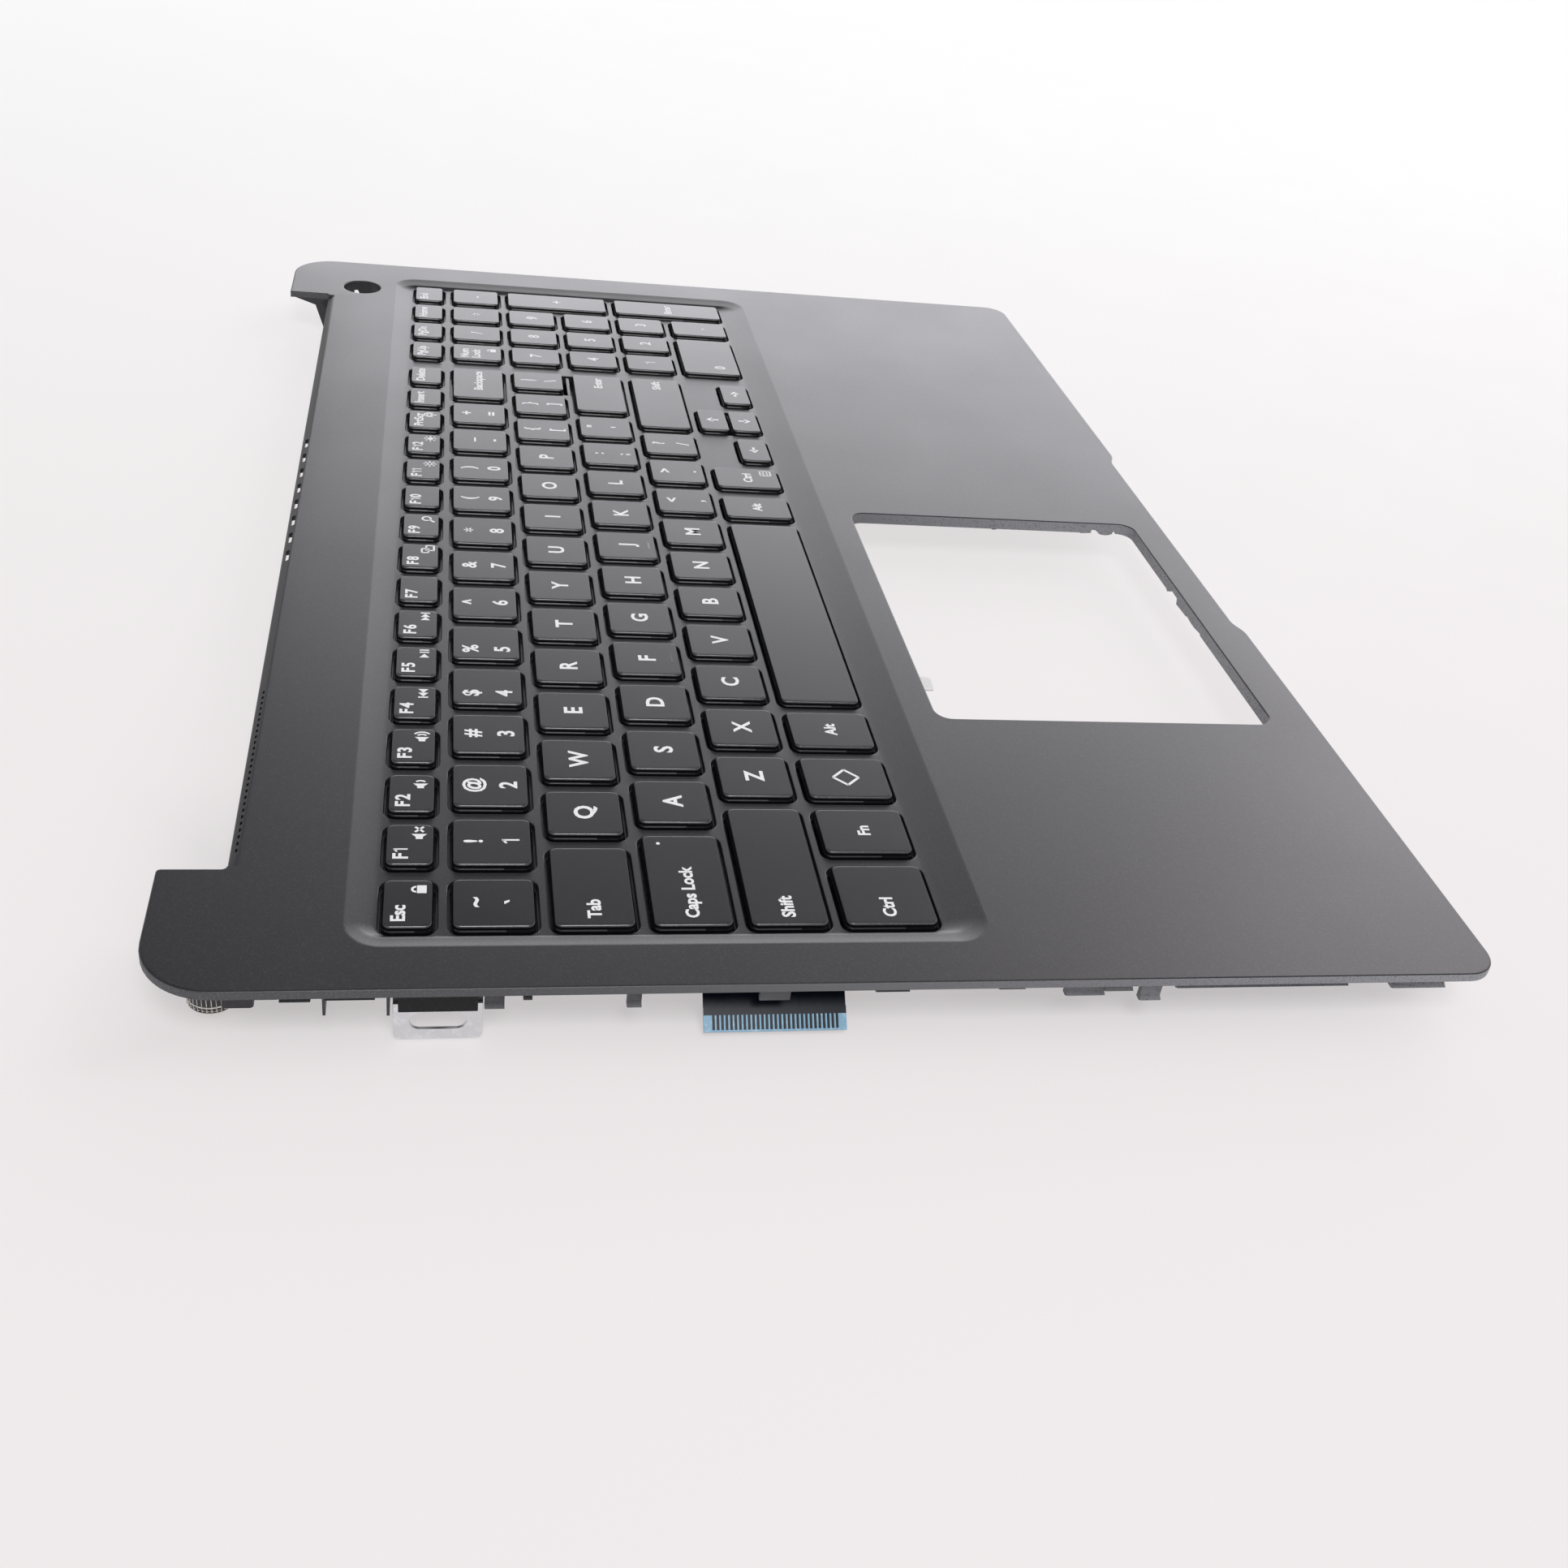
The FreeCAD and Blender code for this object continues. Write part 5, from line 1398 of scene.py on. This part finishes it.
floor_grid = bmesh.new()
bmesh.ops.create_grid(floor_grid, x_segments=8, y_segments=8, size=FLOOR_REACH)
floor_sheet = bpy.data.meshes.new("floor")
floor_grid.to_mesh(floor_sheet)
floor_grid.free()
floor = bpy.data.objects.new("floor", floor_sheet)
bpy.context.scene.collection.objects.link(floor)
paper = grained_material("floor_paper", FLOOR_SHADE, FLOOR_SHADE,
                         grains=400.0, gloss=(0.6, 0.7), bump=0.02)
floor_sheet.materials.append(paper)


def reckoned(tree, operation, *values):
    """The result of one operation on one or two values."""
    node = tree.nodes.new("ShaderNodeMath")
    node.operation = operation
    for socket, value in zip(node.inputs, values):
        tree.links.new(value, socket)
    return node.outputs["Value"]


# Part of the floor's look is its own pale glow, so that the shadow on it stays light, as on a lit sheet
paper_tree = paper.node_tree
paper_place, paper_axes = place_axes(paper_tree, "Object")
reach = paper_tree.nodes.new("ShaderNodeVectorMath")
reach.operation = "LENGTH"
paper_tree.links.new(paper_place, reach.inputs[0])
far_along = ramp(paper_tree, paper_axes["X"], PAPER_NEAR_X, PAPER_FAR_X, 0.0, 1.0)
far_out = ramp(paper_tree, reach.outputs["Value"], PAPER_START, PAPER_END, 0.0, 1.0)
whiter = reckoned(paper_tree, "MAXIMUM", far_along, far_out)
glow = paper_tree.nodes.new("ShaderNodeEmission")
paper_tint = colour_between(paper_tree, whiter, NEAR_PAPER, FAR_PAPER)
paper_tree.links.new(paper_tint, glow.inputs["Color"])
rays = paper_tree.nodes.new("ShaderNodeLightPath").outputs
seen = reckoned(paper_tree, "MAXIMUM", rays["Is Camera Ray"], rays["Is Glossy Ray"])
seen_through = reckoned(paper_tree, "MAXIMUM", seen, rays["Is Transmission Ray"])
glow_share = ramp(paper_tree, reach.outputs["Value"], GLOW_START, GLOW_END, GLOW_NEAR, GLOW_FAR)

# Close to the part's left edge the floor glows less, so that the shadow there is deeper
depth = reckoned(paper_tree, "ABSOLUTE", paper_axes["Y"])
outside = ramp(paper_tree, paper_axes["X"], *CONTACT_OUTSIDE, 1.0, CONTACT_SHARE)
inside = ramp(paper_tree, paper_axes["X"], *CONTACT_INSIDE, CONTACT_SHARE, 1.0)
beyond = ramp(paper_tree, depth, *CONTACT_ENDS, CONTACT_SHARE, 1.0)
across = reckoned(paper_tree, "MAXIMUM", outside, inside)
contact = reckoned(paper_tree, "MAXIMUM", across, beyond)
shaded = reckoned(paper_tree, "MULTIPLY", glow_share, contact)
glow_part = reckoned(paper_tree, "MULTIPLY", seen_through, shaded)
blend = paper_tree.nodes.new("ShaderNodeMixShader")
paper_tree.links.new(glow_part, blend.inputs["Fac"])
paper_tree.links.new(paper_tree.nodes["Principled BSDF"].outputs["BSDF"], blend.inputs[1])
paper_tree.links.new(glow.outputs["Emission"], blend.inputs[2])
paper_tree.links.new(blend.outputs["Shader"], paper_tree.nodes["Material Output"].inputs["Surface"])

# The sky of the studio is white at the horizon and dimmer overhead
HORIZON_LIGHT, ZENITH_LIGHT = 1.0, 0.18
HORIZON_TOP, ZENITH_START = 0.1, 0.5
SKY_SHADE = (1.0, 1.0, 1.0, 1.0)
world = bpy.data.worlds.new("studio")
world.use_nodes = True
sky_tree = world.node_tree
sky_axes = place_axes(sky_tree, "Generated")[1]
strength = ramp(sky_tree, sky_axes["Z"], HORIZON_TOP, ZENITH_START, HORIZON_LIGHT, ZENITH_LIGHT)
sky_tree.links.new(strength, sky_tree.nodes["Background"].inputs["Strength"])
sky_tree.nodes["Background"].inputs["Color"].default_value = SKY_SHADE
bpy.context.scene.world = world

PART_MIDDLE = (0.0, 0.0, 0.0)


def soft_lamp(name, place, width, height, power, tint):
    """A soft panel of light that faces the middle of the part."""
    lamp = bpy.data.lights.new(name, "AREA")
    lamp.color = tint
    lamp.shape = "RECTANGLE"
    lamp.size = width
    lamp.size_y = height
    lamp.energy = power
    holder = bpy.data.objects.new(name, lamp)
    holder.location = place
    holder.rotation_euler = (Vector(PART_MIDDLE) - Vector(place)).to_track_quat("-Z", "Y").to_euler()
    bpy.context.scene.collection.objects.link(holder)


soft_lamp("near_softbox", place=(-1.05, 0.0, 1.35), width=0.6, height=0.6, power=13.0,
          tint=(0.985, 0.98, 1.0))
soft_lamp("far_wall", place=(2.2, -0.75, 0.68), width=2.6, height=1.05, power=30.3,
          tint=(0.955, 0.95, 1.0))
soft_lamp("side_window", place=(0.95, -1.42, 1.22), width=1.2, height=1.2, power=13.5,
          tint=(1.0, 0.93, 0.955))

camera = bpy.data.cameras.new("camera")
camera.sensor_width = SENSOR
camera.lens = FOCAL_PIXELS / IMAGE_SIZE * SENSOR
camera.clip_start = NEAREST_SEEN
view = bpy.data.objects.new("camera", camera)
right, up = Vector(CAMERA_RIGHT), Vector(CAMERA_UP)
facing = Matrix((right, up, right.cross(up))).transposed()
view.matrix_world = Matrix.Translation(CAMERA_PLACE) @ facing.to_4x4()
bpy.context.scene.collection.objects.link(view)
bpy.context.scene.camera = view
bpy.context.scene.view_settings.view_transform = "Standard"
